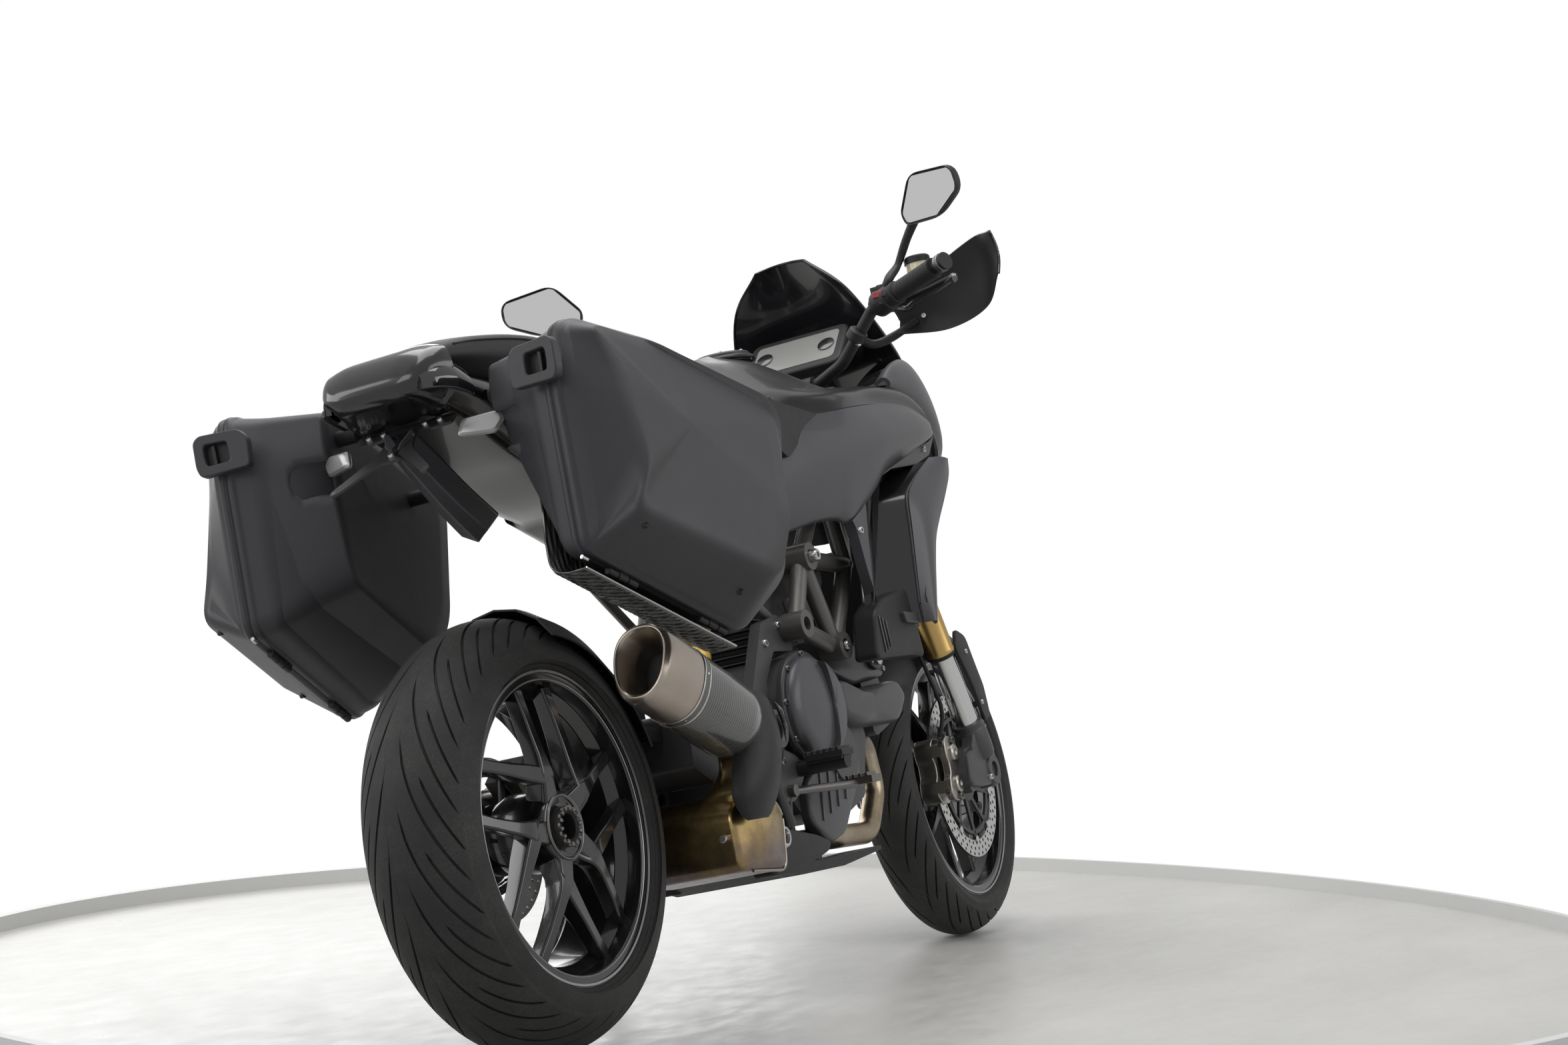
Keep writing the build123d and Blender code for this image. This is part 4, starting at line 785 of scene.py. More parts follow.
def buildRearWheel():
    # rim, five forked spokes and hub as one piece; silver rings on the lip as a painted highlight, castle nut
    # and axle bore
    c = (0, 0, 320)
    rim = lathed(rimProfile(231, 79), c, sides=160)
    spokes = forkedSpokes(c, first=35, stem=30, knee=90, rimAt=212, back=-8, ahead=42.5,
                          faceY=[-66, -74, -80, -70, -58],
                          widths=([40, 44, 36, 22, 19, 22], [40, 32, 22, 19, 24]), depths=[34, 34, 26, 24])
    hub = lathed([(26, -70), (36, -72), (47, -76), (52, -74), (56, -66), (58, -40), (62, 0), (54, 20),
                  (34, 24), (26, 24)], c, sides=72)
    piece("rearRimSpokes", bundle(rim, spokes, hub), "wheelBlack", "rear_wheel", bevel=1.4, sharp=30,
          replaces=["rear_rim"])
    # two thin silver rings on the outer face of the lip: a painted highlight where the gloss black lip
    # catches the light
    lip = lathed([(226.2, -79.4), (229.6, -79.7), (230.4, -78.6), (226.0, -78.4)], c, sides=160)
    inner = lathed([(215.0, -77.6), (216.2, -78.4), (217.2, -77.8), (216.0, -76.6)], c, sides=160)
    piece("rearRimLipHighlight", bundle(lip, inner), "silverTrimAndHighlight", "rear_wheel")
    seatRing = lathed([(43, -76), (45.5, -78.8), (47.6, -78.8), (49, -76)], c, sides=72)
    teeth = 14
    a = np.linspace(0, 2 * math.pi, teeth * 8, endpoint=False)
    tall = np.where((np.arange(teeth * 8) % 8) < 4, -88.5, -84.0)
    rings = []
    for r, y in ((30.0, -70 + 0 * a), (30.0, tall + 1.2), (29.2, tall), (24.0, tall), (22.6, tall + 1.5),
                 (22.0, -70 + 0 * a)):
        rings.append(np.stack([c[0] + r * np.cos(a), y, c[2] + r * np.sin(a)], -1))
    nut = lofted(rings, loop=True)
    piece("rearHubNut", bundle(seatRing, nut), "darkSteel", "rear_wheel", bevel=0.5)
    bore = lathed([(22.4, -60), (22.4, -86), (19, -82), (19, -60)], c, sides=48)
    piece("rearAxleBore", bore, "blackPlastic", "rear_wheel")


buildRearWheel()


def buildFrontWheel():
    # rim, five forked spokes and hub as one piece, and a silver ring on each side's lip as a painted
    # highlight
    c = (1530, 0, 300)
    rim = lathed(rimProfile(231, 48), c, sides=160)
    spokes = forkedSpokes(c, first=12, stem=26, knee=86, rimAt=212, back=-8, ahead=42.5,
                          faceY=[-24, -18, -15, -13, -12],
                          widths=([34, 36, 30, 18, 15, 18], [32, 26, 17, 15, 20]), depths=[46, 38, 28, 24])
    hub = lathed([(15, -46), (34, -46), (38, -40), (33, -22), (40, 0), (33, 22), (38, 40), (34, 46),
                  (15, 46)], c, sides=64)
    piece("frontRimSpokes", bundle(rim, spokes, hub), "wheelBlack", "front_wheel", bevel=1.2,
          sharp=30, replaces=["front_rim"])
    # a thin silver ring on each lip: a painted highlight where the gloss black lip catches the light
    rings = [lathed([(226.4, s * 48.4), (229.4, s * 48.7), (230.2, s * 47.6), (226.2, s * 47.4)], c,
                    sides=160) for s in (-1, 1)]
    piece("frontRimLipHighlight", bundle(*rings), "silverTrimAndHighlight", "front_wheel")


buildFrontWheel()


def drilledRing(centre, inner, outer, thick, columns, rows, hole, turn=0.0):
    # polar cells, each with a round hole; a cell's edge is sixteen points that pair with sixteen on its
    # hole
    n = 16
    cells = rows * columns
    row, col = np.divmod(np.arange(cells), columns)
    span = 2 * math.pi / columns
    height = (outer - inner) / rows
    q = np.array([(-1, -1), (-.5, -1), (0, -1), (.5, -1), (1, -1), (1, -.5), (1, 0), (1, .5), (1, 1),
                  (.5, 1), (0, 1), (-.5, 1), (-1, 1), (-1, .5), (-1, 0), (-1, -.5)]) / 2
    midA = (col + 0.5 + 0.35 * (row % 2)) * span + turn
    midR = inner + (row + 0.5) * height
    edgeA, edgeR = midA[:, None] + q[None, :, 0] * span, midR[:, None] + q[None, :, 1] * height
    around = np.arctan2(q[:, 1], q[:, 0])
    holeR = midR[:, None] + hole * np.sin(around)[None]
    holeA = midA[:, None] + hole * np.cos(around)[None] / midR[:, None]
    layers = []
    for r, a in ((edgeR, edgeA), (holeR, holeA)):
        for y in (-thick / 2, thick / 2):
            layers.append(np.stack([centre[0] + r * np.cos(a), centre[1] + y + 0 * r,
                                    centre[2] + r * np.sin(a)], -1))
    points = np.stack(layers, 1).reshape(-1, 3)   # cell, layer, point
    k = np.arange(n)
    k2 = (k + 1) % n
    base = (np.arange(cells) * 4 * n)[:, None]
    lowE, topE, lowH, topH = (base + i * n for i in range(4))
    quads = [np.stack([lowE + k, lowE + k2, lowH + k2, lowH + k], -1),
             np.stack([topE + k2, topE + k, topH + k, topH + k2], -1),
             np.stack([lowH + k, lowH + k2, topH + k2, topH + k], -1)]
    faces = np.concatenate([x.reshape(-1, 4) for x in quads]).tolist()
    for r, out in ((inner, False), (outer, True)):
        pick = row == (rows - 1 if out else 0)
        side = np.array([12, 11, 10, 9, 8] if out else [0, 1, 2, 3, 4])
        b = base[pick]
        e0, e1 = b + side[:-1], b + side[1:]
        faces += np.stack([e0, e1, e1 + n, e0 + n], -1).reshape(-1, 4).tolist()
    return points, faces


def buildDiscs():
    # drilled ring, arms at even angles, lathed hub and inner ring; the front rings float on ten bobbins
    axle, angles = (1530, 0, 300), range(18, 378, 36)
    for side in (-1, 1):
        name, y = "Left" if side > 0 else "Right", side * 56
        disc = drilledRing((1530, y, 300), inner=128, outer=160, thick=5, columns=45, rows=3, hole=3.4)
        piece("frontDiscRing" + name, disc, "steel", "front_wheel", sharp=40,
              replaces=["front_discs"])
        shape = [(0, -5), (7, -5), (7.5, 0), (7, 5), (0, 5)]
        bobbins = [lathed(shape, polar([126], [at], [y], axle)[0], sides=16) for at in angles]
        arms = [sectionBar(polar([44, 80, 122], [at - 14, at - 6, at], [y - 3] * 3, axle), [14, 9, 13],
                           [6, 6, 6], 1.0) for at in angles]
        hub = lathed([(20, y - 4), (50, y - 4), (52, y), (50, y + 4), (20, y + 4)], axle, sides=64)
        ring = lathed([(108, y - 3), (116, y - 3), (116, y + 3), (108, y + 3)], axle, sides=80)
        piece("frontDiscCarrier" + name, bundle(*arms, hub, ring), "anodisedBlack", "front_wheel",
              bevel=0.6)
        piece("frontDiscBobbins" + name, bundle(*bobbins), "steel", "front_wheel", bevel=0.5)
    axle, angles = (0, 0, 320), range(0, 360, 60)
    disc = drilledRing((0, 44, 320), inner=94, outer=122.5, thick=5, columns=40, rows=2, hole=3.4)
    piece("rearDiscRing", disc, "steel", "rear_wheel", sharp=40, replaces=["rear_disc"])
    arms = [sectionBar(polar([40, 70, 96], [at - 10, at, at + 4], [41] * 3, axle), [16, 12, 14], [6, 6, 6],
                       1.0) for at in angles]
    hub = lathed([(35, 40), (52, 40), (52, 48), (35, 48)], axle, sides=64)
    piece("rearDiscCarrier", bundle(*arms, hub), "anodisedBlack", "rear_wheel", bevel=0.6)


buildDiscs()
print("wheels: tyres, rims and discs")


caseSizes = {
    "seamHalf": 316, "yaw": 0.19, "cornerRadius": 26, "gasket": 2.6,
    # corners of the seam, then the depth and corners of the lid's outer face and the body's back
    "seam": [(-152, 1002), (-180, 940), (-180, 690), (-168, 672), (128, 545), (255, 622), (318, 868),
             (296, 902), (52, 982), (-120, 1010)],
    "face": [(-122, 986), (-101, 915), (-106, 785), (-150, 716), (130, 610), (208, 704), (288, 858),
             (286, 892), (56, 975), (-98, 990)],
    "faceDepth": [48, 66, 92, 88, 100, 80, 24, 11, 14, 40],
    "back": [(-134, 978), (-142, 930), (-122, 760), (-104, 726), (150, 625), (225, 680), (285, 850),
             (268, 880), (45, 958), (-118, 985)],
    "backCut": [(-134, 978), (-142, 930), (-132, 862), (-112, 850), (150, 742), (236, 735), (285, 850),
                (268, 880), (45, 958), (-118, 985)],
    "backDepth": 146,
    # hinge line from its rear end, as a run along the seam, with the knuckles' places and size
    "hingeStart": (-169.6, 668.3), "hingeRun": (0.919, -0.394), "hingePlaces": (64, 258), "knuckle": 20,
    "barrel": 6.0,
    # under-guard: outward and upward from the hinge line
    "guard": [(6, -15), (-34, -15), (-61, -1), (-77, 37), (-89, 85), (-103, 129)], "guardLength": 322,
}


def hingePoint(along, out=0.0, up=0.0):
    # a place beside the hinge line, in the seam's own directions
    run, start = np.array(caseSizes["hingeRun"]), np.array(caseSizes["hingeStart"])
    along = np.asarray(along, float)[..., None]
    flat = start + run * along + np.array((-run[1], run[0])) * np.asarray(up, float)[..., None]
    outs = np.broadcast_to(np.asarray(out, float)[..., None], flat[..., :1].shape)
    return np.concatenate([flat, outs], -1)


def caseFrame():
    # origin of the seam's plane, its run (1, -yaw) made one long, up, and outward
    k = math.hypot(1, caseSizes["yaw"])
    x, y, z = (1 / k, -caseSizes["yaw"] / k, 0), (0, 0, 1), (-caseSizes["yaw"] / k, -1 / k, 0)
    return np.array((0, -caseSizes["seamHalf"], 0.0)), np.array(x), np.array(y), np.array(z)


def fromCase(points):
    # (along the seam, up, outward) to the upright machine, on the right-hand side
    o, x, y, z = caseFrame()
    p = np.asarray(points, float)
    return o + p[..., :1] * x + p[..., 1:2] * y + p[..., 2:3] * z


def caseRing(corners, depth, radius=None, shift=0.0):
    # corners rounded in the seam's plane; each keeps its own depth
    c = np.asarray(corners, float)
    d = np.broadcast_to(np.asarray(depth, float), (len(c),))
    ring = np.column_stack([c, d])
    if shift:
        middle = ring[:, :2].mean(0)
        way = ring[:, :2] - middle
        ring[:, :2] -= way / np.linalg.norm(way, axis=1, keepdims=True) * shift
    return rounded(ring, radius or caseSizes["cornerRadius"], 8, 14)


def closing(ring, lift=0.0, steps=6):
    # shrinks the last ring towards its middle, so that a face ends in a small flat
    middle = ring.mean(0) + (0, 0, lift)
    t = np.linspace(0, 0.985, steps)[1:, None, None]
    return ring[None] * (1 - t) + middle * t


def lidShell():
    # rings from the seam out to the face, creases softened, with the hollow behind them
    s = caseSizes
    start = caseRing(s["seam"], 1.2)
    wall = caseRing(s["seam"], 11, shift=1.0)
    tuck = caseRing(s["seam"], 13, shift=3.0)
    face = caseRing(s["face"], s["faceDepth"], 30)
    rings = [start, wall, tuck] + list(between(tuck, face, 4)[1:]) + [face]
    body = softRings(np.array(rings), 9, 6)
    cap = closing(body[-1], lift=8, steps=8)
    inside = [caseRing(s["seam"], 1.2, shift=4), caseRing(s["seam"], 20, shift=8),
              caseRing(s["face"], np.array(s["faceDepth"]) - 5, 26, shift=10)]
    hollow = np.concatenate([closing(inside[2], steps=4)[::-1], np.array(inside[::-1])])
    return fromCase(np.concatenate([hollow, body, cap]))


def dented(p):
    # finger recess in the rear face: depth falls off with the distance from a short level line
    a, b, c = p[..., 0], p[..., 1], p[..., 2]
    along = np.clip(c, -170, -112)
    d = np.sqrt((c - along) ** 2 + (b - 886) ** 2)
    deep = 20 * (1 - smoothStep(d, 19, 29)) * (a < -40)
    q = p.copy()
    q[..., 0] += deep
    return q


def bodyShell(right):
    # rings from the seam inward; the right one is cut away below for the muffler
    s = caseSizes
    back = s["backCut"] if right else s["back"]
    depth = s["backDepth"]
    start = caseRing(s["seam"], -1.2)
    lip = caseRing(s["seam"], -9, shift=1.0)
    groove = caseRing(s["seam"], -13, shift=5.0)
    panel = caseRing(s["seam"], -40, shift=12.0)
    share = 58 / depth
    corner = np.array(s["seam"]) * (1 - share) + np.array(s["back"]) * share
    ridge = caseRing(corner, -58, shift=4.0)
    rings = [start, lip, groove, panel, ridge]
    if right:
        low = np.array(s["seam"]) * 0.45 + np.array(s["back"]) * 0.55
        knee = low.copy()
        knee[2:6] = [(-146, 770), (-128, 752), (145, 640), (228, 690)]
        rings.append(caseRing(knee, -76, shift=4.0))
        high = np.array(back) * 0.6 + knee * 0.4
        rings.append(caseRing(high, -98))
    end = caseRing(back, -depth, 34)
    rings += list(between(rings[-1], end, 9)[1:]) + [end]
    body = softRings(np.array(rings), 12, 5)
    cap = closing(body[-1], lift=-3, steps=8)
    inside = [caseRing(s["seam"], -1.2, shift=5), caseRing(s["seam"], -40, shift=16),
              caseRing(back, -depth + 6, 30, shift=10)]
    hollow = np.concatenate([closing(inside[2], steps=4)[::-1], np.array(inside[::-1])])
    skin = dented(np.concatenate([body, cap]))
    return fromCase(np.concatenate([hollow, skin]))


def ringFrame(outer, inner, low, high, place):
    # a window frame: outer and inner loops with as many points, bridged front, inside, back and outside
    n = np.array([place(np.column_stack([q, np.full(len(q), d)])) for q, d in
                  ((outer, high), (inner, high), (inner, low), (outer, low))])
    return lofted(n, loop=True)


def latchPlace(points):
    # drawn as (outward along the seam's normal, up, rearward) round the latch's middle
    p = np.asarray(points, float)
    return fromCase(np.stack([-180 - p[..., 2], 944 + p[..., 1] + p[..., 2] * 0.1, -6 + p[..., 0]], -1))


def latch():
    # window frame, pit and tab, each an outline carried outward
    outer = rounded([(-46, -27), (34, -30), (40, -16), (40, 24), (30, 32), (-34, 30), (-48, 16)], 7, 5, 3)
    window = rounded([(-16, -14), (22, -15), (24, -2), (24, 12), (21, 17), (-14, 16), (-16, 2)], 5, 5, 3)
    base = ringFrame(outer, window, 3.6, 19, latchPlace)
    pit = lofted([latchPlace(np.column_stack([window * 1.02, np.full(len(window), d)])) for d in (3.5, 7)])
    bar = rounded([(6, -15), (12, -15), (13, 14), (7, 15)], 2, 3, 1)
    tab = lofted([latchPlace(np.column_stack([bar, np.full(16, d)])) for d in (6, 15)])
    root = np.array([(8, -22), (26, -22), (26, 22), (8, 22)], float)
    foot = lofted([latchPlace(np.column_stack([root, np.full(4, d)])) for d in (-16, 6)])
    return bundle(base, foot), pit, tab


def hingeBarrels(onBody):
    # three knuckles at each place, the middle one on the lid, each with a leaf on the case
    size = caseSizes["knuckle"]
    solids = []
    for place in caseSizes["hingePlaces"]:
        spans = ((-size, -0.5), (size + 0.5, 2 * size)) if onBody else ((0.5, size - 0.5),)
        for low, high in spans:
            ends = fromCase(hingePoint([place + low, place + high]))
            solids.append(rodBetween(ends[0], ends[1], caseSizes["barrel"], 20, 1.2))
            side = -1 if onBody else 1
            leaf = [hingePoint([place + low, place + high, place + high, place + low], side * d,
                               [0, 0, 13, 13]) for d in (1.5, 5.5)]
            solids.append(lofted(fromCase(np.array(leaf))))
    return bundle(*solids)


def heatShield():
    # the guard's profile carried along the hinge line, with ribs that are a sine of the distance
    curve = spline(np.array(caseSizes["guard"], float), 7)
    along = np.linspace(-4, caseSizes["guardLength"] - 4, 241)
    rib = 1.4 * np.sin(along * 2 * math.pi / 10)[:, None]
    slope = np.gradient(curve, axis=0)
    slope /= np.linalg.norm(slope, axis=1, keepdims=True)
    normal = np.column_stack([-slope[:, 1], slope[:, 0]])
    place = np.arange(len(curve))
    edge = np.minimum(1, np.minimum(place, len(curve) - 1 - place) / 4)[None]
    skins = []
    for thick in (0.0, 1.8):
        out = curve[None, :, 0] + normal[None, :, 0] * (rib * edge + thick)
        up = curve[None, :, 1] + normal[None, :, 1] * (rib * edge + thick)
        skins.append(hingePoint(np.broadcast_to(along[:, None], out.shape), out, up))
    return lofted(np.concatenate([fromCase(skins[0]), fromCase(skins[1])[:, ::-1]], 1))


def buildCases():
    # body, lid, gasket, latch, hinge, pin and feet of each side; the guard is on the right only
    for right in (True, False):
        side = "Right" if right else "Left"
        hand = (lambda solid: solid) if right else flipped
        low = side.lower()
        lid = low + "_lid"
        piece("caseLid" + side, hand(lofted(lidShell())), "caseShell", lid, sharp=0,
              replaces=["case_lid_" + low])
        piece("caseBody" + side, hand(lofted(bodyShell(right))), "caseShell", sharp=0,
              replaces=["case_body_" + low])
        ring = caseRing(caseSizes["seam"], 0.0, shift=2.2)
        loop = fromCase(ring)
        t = np.roll(loop, -1, 0) - np.roll(loop, 1, 0)
        t /= np.linalg.norm(t, axis=1, keepdims=True)
        out = caseFrame()[3]
        across = np.cross(t, out)[:, None]
        a = np.linspace(0, 2 * math.pi, 8, endpoint=False)
        g = caseSizes["gasket"]
        circle = np.cos(a)[None, :, None] * out + np.sin(a)[None, :, None] * across
        tubeRings = loop[:, None] + g * circle
        piece("caseGasket" + side, hand(lofted(tubeRings, loop=True)), "softRubber")
        base, pit, tab = latch()
        piece("caseLatch" + side, hand(base), "caseShell", lid, bevel=2.2, segments=3)
        piece("caseLatchPit" + side, hand(bundle(pit, tab)), "blackPlastic", lid, bevel=0.8)
        piece("caseHinge" + side, hand(hingeBarrels(False)), "blackPlastic", lid, bevel=0.8)
        piece("caseHingeBody" + side, hand(hingeBarrels(True)), "blackPlastic", bevel=0.8)
        ends = fromCase(hingePoint([-9.0, 3.0], 0.0, 0.0))
        pin = rodBetween(ends[0], ends[1], 3.4, 16, 0.6)
        piece("caseHingePin" + side, hand(pin), "steel")
        nubs = bundle(*[aimed(lathed([(0, -2), (5, -1), (3.4, 6), (0, 7)], axis="z", sides=14), p,
                              (0, -1, -0.3)) for p in ((-135, -366, 698), (69, -387, 600))])
        piece("caseNubs" + side, hand(nubs), "blackPlastic", lid)
    piece("caseHeatShield", heatShield(), "carbon", sharp=0,
          replaces=["heat_shield"])
    edge = fromCase(hingePoint(np.linspace(-4, 318, 6), 6.5, -15.0))
    piece("caseHeatShieldEdge", tube(edge, 1.3, 8), "steel")


buildCases()
print("cases: bodies, lids, latches and hinges")


tailSizes = {
    # stations along the tail: x, half width, top, bottom
    "shell": [(-197, 52, 974, 964), (-193, 72, 985, 957), (-182, 88, 1001, 950), (-166, 98, 1017, 946),
              (-148, 105, 1026, 941), (-133, 109, 1029, 936), (-130, 110, 984, 935), (-60, 116, 980, 915),
              (40, 117, 975, 876), (100, 117, 971, 856), (200, 117, 946, 820), (292, 117, 920, 800),
              (300, 117, 846, 796), (380, 117, 824, 768), (479, 117, 797, 741)],
    "seat": [(-136, 84, 1024, 985), (-100, 98, 1037, 983), (-40, 110, 1048, 980), (60, 120, 1057, 976),
             (150, 124, 1055, 961), (240, 122, 1036, 938), (300, 116, 1012, 926), (330, 108, 990, 974)],
}


def softBox(x, half, top, low, shoulder=0.45, crown=0.0):
    # rounded cross-section at x: narrower below, widest a little under the top
    h = top - low
    outline = [(-half * 0.72, low), (half * 0.72, low), (half * 0.98, low + h * 0.42),
               (half, low + h * 0.62),
               (half * 0.94, top - h * 0.1), (half * shoulder, top + crown * 0.7), (0, top + crown),
               (-half * shoulder, top + crown * 0.7), (-half * 0.94, top - h * 0.1),
               (-half, low + h * 0.62),
               (-half * 0.98, low + h * 0.42)]
    ring = rounded(outline, [h * 0.2] * 2 + [h * 0.12] * 2 + [h * 0.3] + [half * 0.3] * 3 + [h * 0.3]
                   + [h * 0.12] * 2, 5, 3)
    return np.column_stack([np.full(len(ring), x), ring])


def stationed(stations, shoulder=0.45, crown=0.0, steps=5):
    # the sections, with a smooth curve through them along the machine
    rings = np.array([softBox(*s, shoulder, crown) for s in stations])
    flat = spline(rings.reshape(len(rings), -1), steps)
    return flat.reshape(len(flat), *rings.shape[1:])


def buildTail():
    # hump, back and front skinned through their stations; lenses and underside
    rear, front = tailSizes["shell"][:6], tailSizes["shell"][6:]
    hump = stationed(rear, 0.6, 1.5, 4)
    back = stationed(front[:6], 0.7, 0, 3)
    fore = stationed(front[6:], 0.7, 0, 2)
    piece("tailShell", lofted(np.concatenate([hump, back, fore])), "blackGloss", sharp=38,
          replaces=["tail_fairing"])
    # dark lens band wrapped round each rear flank, standing a little proud of the shell
    angle = np.linspace(0, 1, 15)
    x = -186 + 86 * angle
    flankX, flankHalf = np.array(tailSizes["shell"][:6] + tailSizes["shell"][7:8], float).T[:2]
    reach = np.interp(x, flankX, flankHalf) + 2.0
    low = 956 - 10 * angle + 4 * np.sin(angle * math.pi)
    high = 984 + 14 * np.sin(angle * math.pi * 0.7) - 16 * angle ** 2
    t = np.linspace(0, 1, 9)[None]
    z = low[:, None] * (1 - t) + high[:, None] * t
    y = reach[:, None] * (1 + 0.02 * np.sin(t * math.pi)) - 7 * t ** 3
    outer = np.stack([np.broadcast_to(x[:, None], z.shape), -y, z], -1)
    inner = outer + (4, 9, 0)
    lens = lofted(np.concatenate([outer, inner[:, ::-1]], 1))
    piece("tailLens", bothSides(lens), "smoked", sharp=50, replaces=["tail_lamps"])
    rim = np.concatenate([outer[:, 0], outer[1:, -1][::-1]])
    piece("tailLensTrim", bothSides(tube(np.vstack([rim, rim[:1]]), 1.6, 8)), "blackPlastic")
    # underside skins, swept forward and down to the hugger
    strut = [(-150, 12, 892), (-104, 16, 858), (-34, 20, 806), (60, 24, 748), (158, 24, 694)]
    solids = []
    for x0, w, z0 in strut:
        solids.append([(x0 + 10, -w - 12, z0 + 22), (x0 - 8, -w, z0 + 2), (x0, 0, z0 - 12),
                       (x0 - 8, w, z0 + 2), (x0 + 10, w + 12, z0 + 22), (x0 + 20, w + 8, z0 + 27),
                       (x0 + 6, 0, z0 + 2), (x0 + 20, -w - 8, z0 + 27)])
    flat = spline(np.array(solids, float).reshape(len(solids), -1), 6)
    piece("tailUnderside", lofted(flat.reshape(len(flat), 8, 3)[:-8]), "satinGrey", bevel=2, segments=2)


def seatSkin(stations, shoulder, crown):
    # skin through the stations, both ends closed with a quarter-sine bulge of 9 mm
    rings = stationed(stations, shoulder, crown, 7)
    end, start = rings[-1], rings[0]
    cap = between(end, end.mean(0)[None] + 0 * end, 6)[1:]
    nose = between(start, start.mean(0)[None] + 0 * start, 6)[1:][::-1]
    bulge = np.sin(np.linspace(0, 1, len(cap)) * math.pi / 2)[:, None, None] * np.array((9.0, 0, 0))
    return np.concatenate([nose - bulge[::-1], rings, cap + bulge])


def buildSeats():
    # passenger's and rider's padded covers, welts and the seam across
    skin = seatSkin(tailSizes["seat"], 0.5, 2.0)
    pillion = piece("seatPassenger", lofted(skin), "seatCover", sharp=0,
                    replaces=["passenger_seat"])
    # rider's seat: scooped between the step and the tank
    stations = [(306, 118, 968, 852), (322, 124, 966, 846), (344, 128, 946, 838), (366, 130, 914, 832),
                (400, 130, 888, 822), (450, 126, 870, 806), (520, 116, 862, 800), (590, 104, 862, 804),
                (640, 94, 874, 810), (678, 86, 892, 816)]
    rider = piece("seatRider", lofted(seatSkin(stations, 0.55, 1.5)), "seatCover", sharp=0,
                  replaces=["rider_seat"])
    # welts: a fine tube laid on each cover along its shoulder
    for name, stationList in (("seatWeltRear", tailSizes["seat"][1:]), ("seatWeltFront", stations[1:])):
        x, w, t, low = np.array(stationList, float).T
        line = np.column_stack([x, -w * 0.965, t - (t - low) * 0.2])
        other = line * (1, -1, 1)
        piece(name, bundle(tube(line, 1.6, 8, smooth=8), tube(other, 1.6, 8, smooth=8)), "softRubber")
    across = np.array([(-96 + 4 * (y / 90) ** 2, y, 1039 - 12 * abs(y / 100) ** 3)
                       for y in np.linspace(-88, 88, 17)])
    piece("seatSeamRear", tube(across, 1.3, 8), "softRubber")


def bracketPlace(points, depth):
    # the plate's own directions: right, up its face and out of it
    o = np.array((-154.0, 0, 887))
    z = np.array((-0.66, 0, 0.75)) / math.hypot(0.66, 0.75)
    x = np.array((0, -1.0, 0))
    y = np.cross(z, x)
    p = np.asarray(points, float)
    return o + p[:, :1] * x + p[:, 1:2] * y + depth * z


def ringHole(radius, centre, count=18):
    # count points centre + r (cos a, sin a)
    a = np.linspace(0, 2 * math.pi, count, endpoint=False)
    return np.column_stack([centre[0] + radius * np.cos(a), centre[1] + radius * np.sin(a)])


def buildBracket():
    # cross bar, plate with a slot in it, bolts, dark holes and side flaps
    outline = [(0, 30), (14, 40), (34, 40), (52, 36), (84, 38), (86, 60), (50, 64), (30, 56), (16, 62),
               (0, 62), (-16, 62), (-30, 56), (-50, 64), (-86, 60), (-84, 38), (-52, 36), (-34, 40),
               (-14, 40)]
    bar = rounded(outline, 4, 3, 0)
    solids = [prismOf(bar)]
    body = [(-24, 44), (24, 44), (27, 10), (34, -6), (86, -66), (82, -76), (70, -72), (16, -22), (0, -27),
            (-16, -22), (-70, -72), (-82, -76), (-86, -66), (-34, -6), (-27, 10)]
    outer = rounded(body, [3, 3, 8, 14, 5, 4, 5, 12, 16, 12, 5, 4, 5, 14, 8], 4, 0)
    slotRing = rounded([(-11, -2), (11, -2), (9, 34), (-9, 34)], 9, 15, 0)
    slotLoop = resampled(slotRing, len(outer))
    faces = np.array([bracketPlace(outer, 0), bracketPlace(slotLoop, 0), bracketPlace(slotLoop, -4),
                      bracketPlace(outer, -4)])
    solids.append(lofted(faces, loop=True))
    piece("plateBracket", bundle(*solids), "anodisedBlack", bevel=0.7,
          replaces=["plate_bracket"])
    z = np.array((-0.66, 0, 0.75))
    places = ((-19, 30), (19, 30), (0, -12), (36, 49), (-36, 49), (62, 49), (-62, 49))
    bolts = [bolt(bracketPlace([q], 1.5)[0], z, 5.2) for q in places]
    piece("plateBolts", bundle(*bolts), "steel")
    holes = [lofted([bracketPlace(ringHole(3.4, q), 0.25), bracketPlace(ringHole(3.4, q), -0.5)])
             for q in [(x * s, y) for s in (-1, 1) for x in (48, 56, 72, 80) for y in (44, 55)]
             + [(-79, -69), (79, -69)]]
    piece("plateHoles", bundle(*holes), "darkSteel")
    # small flaps beside the plate
    flap = rounded([(-40, -12), (18, -16), (34, 4), (26, 18), (-30, 14)], 8, 5, 2)
    rings = [np.column_stack([flap[:, 0] * k, flap[:, 1] * k, np.full(len(flap), d)])
             for d, k in ((-5, 0.9), (-2, 1), (2, 1), (6, 0.8))]
    solids = [aimed(lofted(rings), (-112, -128, 898), (-0.8, -0.35, 0.25), (0, 0, 1))]
    piece("tailFlaps", bothSides(bundle(*solids)), "silverTrimAndHighlight", bevel=1)


def resampled(loop, count):
    # the same closed loop with count points evenly spaced, starting where its angle is least
    middle = loop.mean(0)
    angle = np.arctan2(loop[:, 1] - middle[1], loop[:, 0] - middle[0])
    ring = np.roll(loop, -int(np.argmin(np.abs(angle - math.radians(118)))), 0)
    ring = np.vstack([ring, ring[:1]])
    run = np.concatenate([[0], np.cumsum(np.linalg.norm(np.diff(ring, axis=0), axis=1))])
    t = np.linspace(0, run[-1], count, endpoint=False)
    return np.column_stack([np.interp(t, run, ring[:, k]) for k in (0, 1)])


def prismOf(outline):
    # the outline 3.9 mm thick in the plate's own directions
    return lofted([bracketPlace(outline, 0.0), bracketPlace(outline, -3.9)])


buildTail()
buildSeats()
buildBracket()
print("tail: shell, seats, lenses and plate bracket")


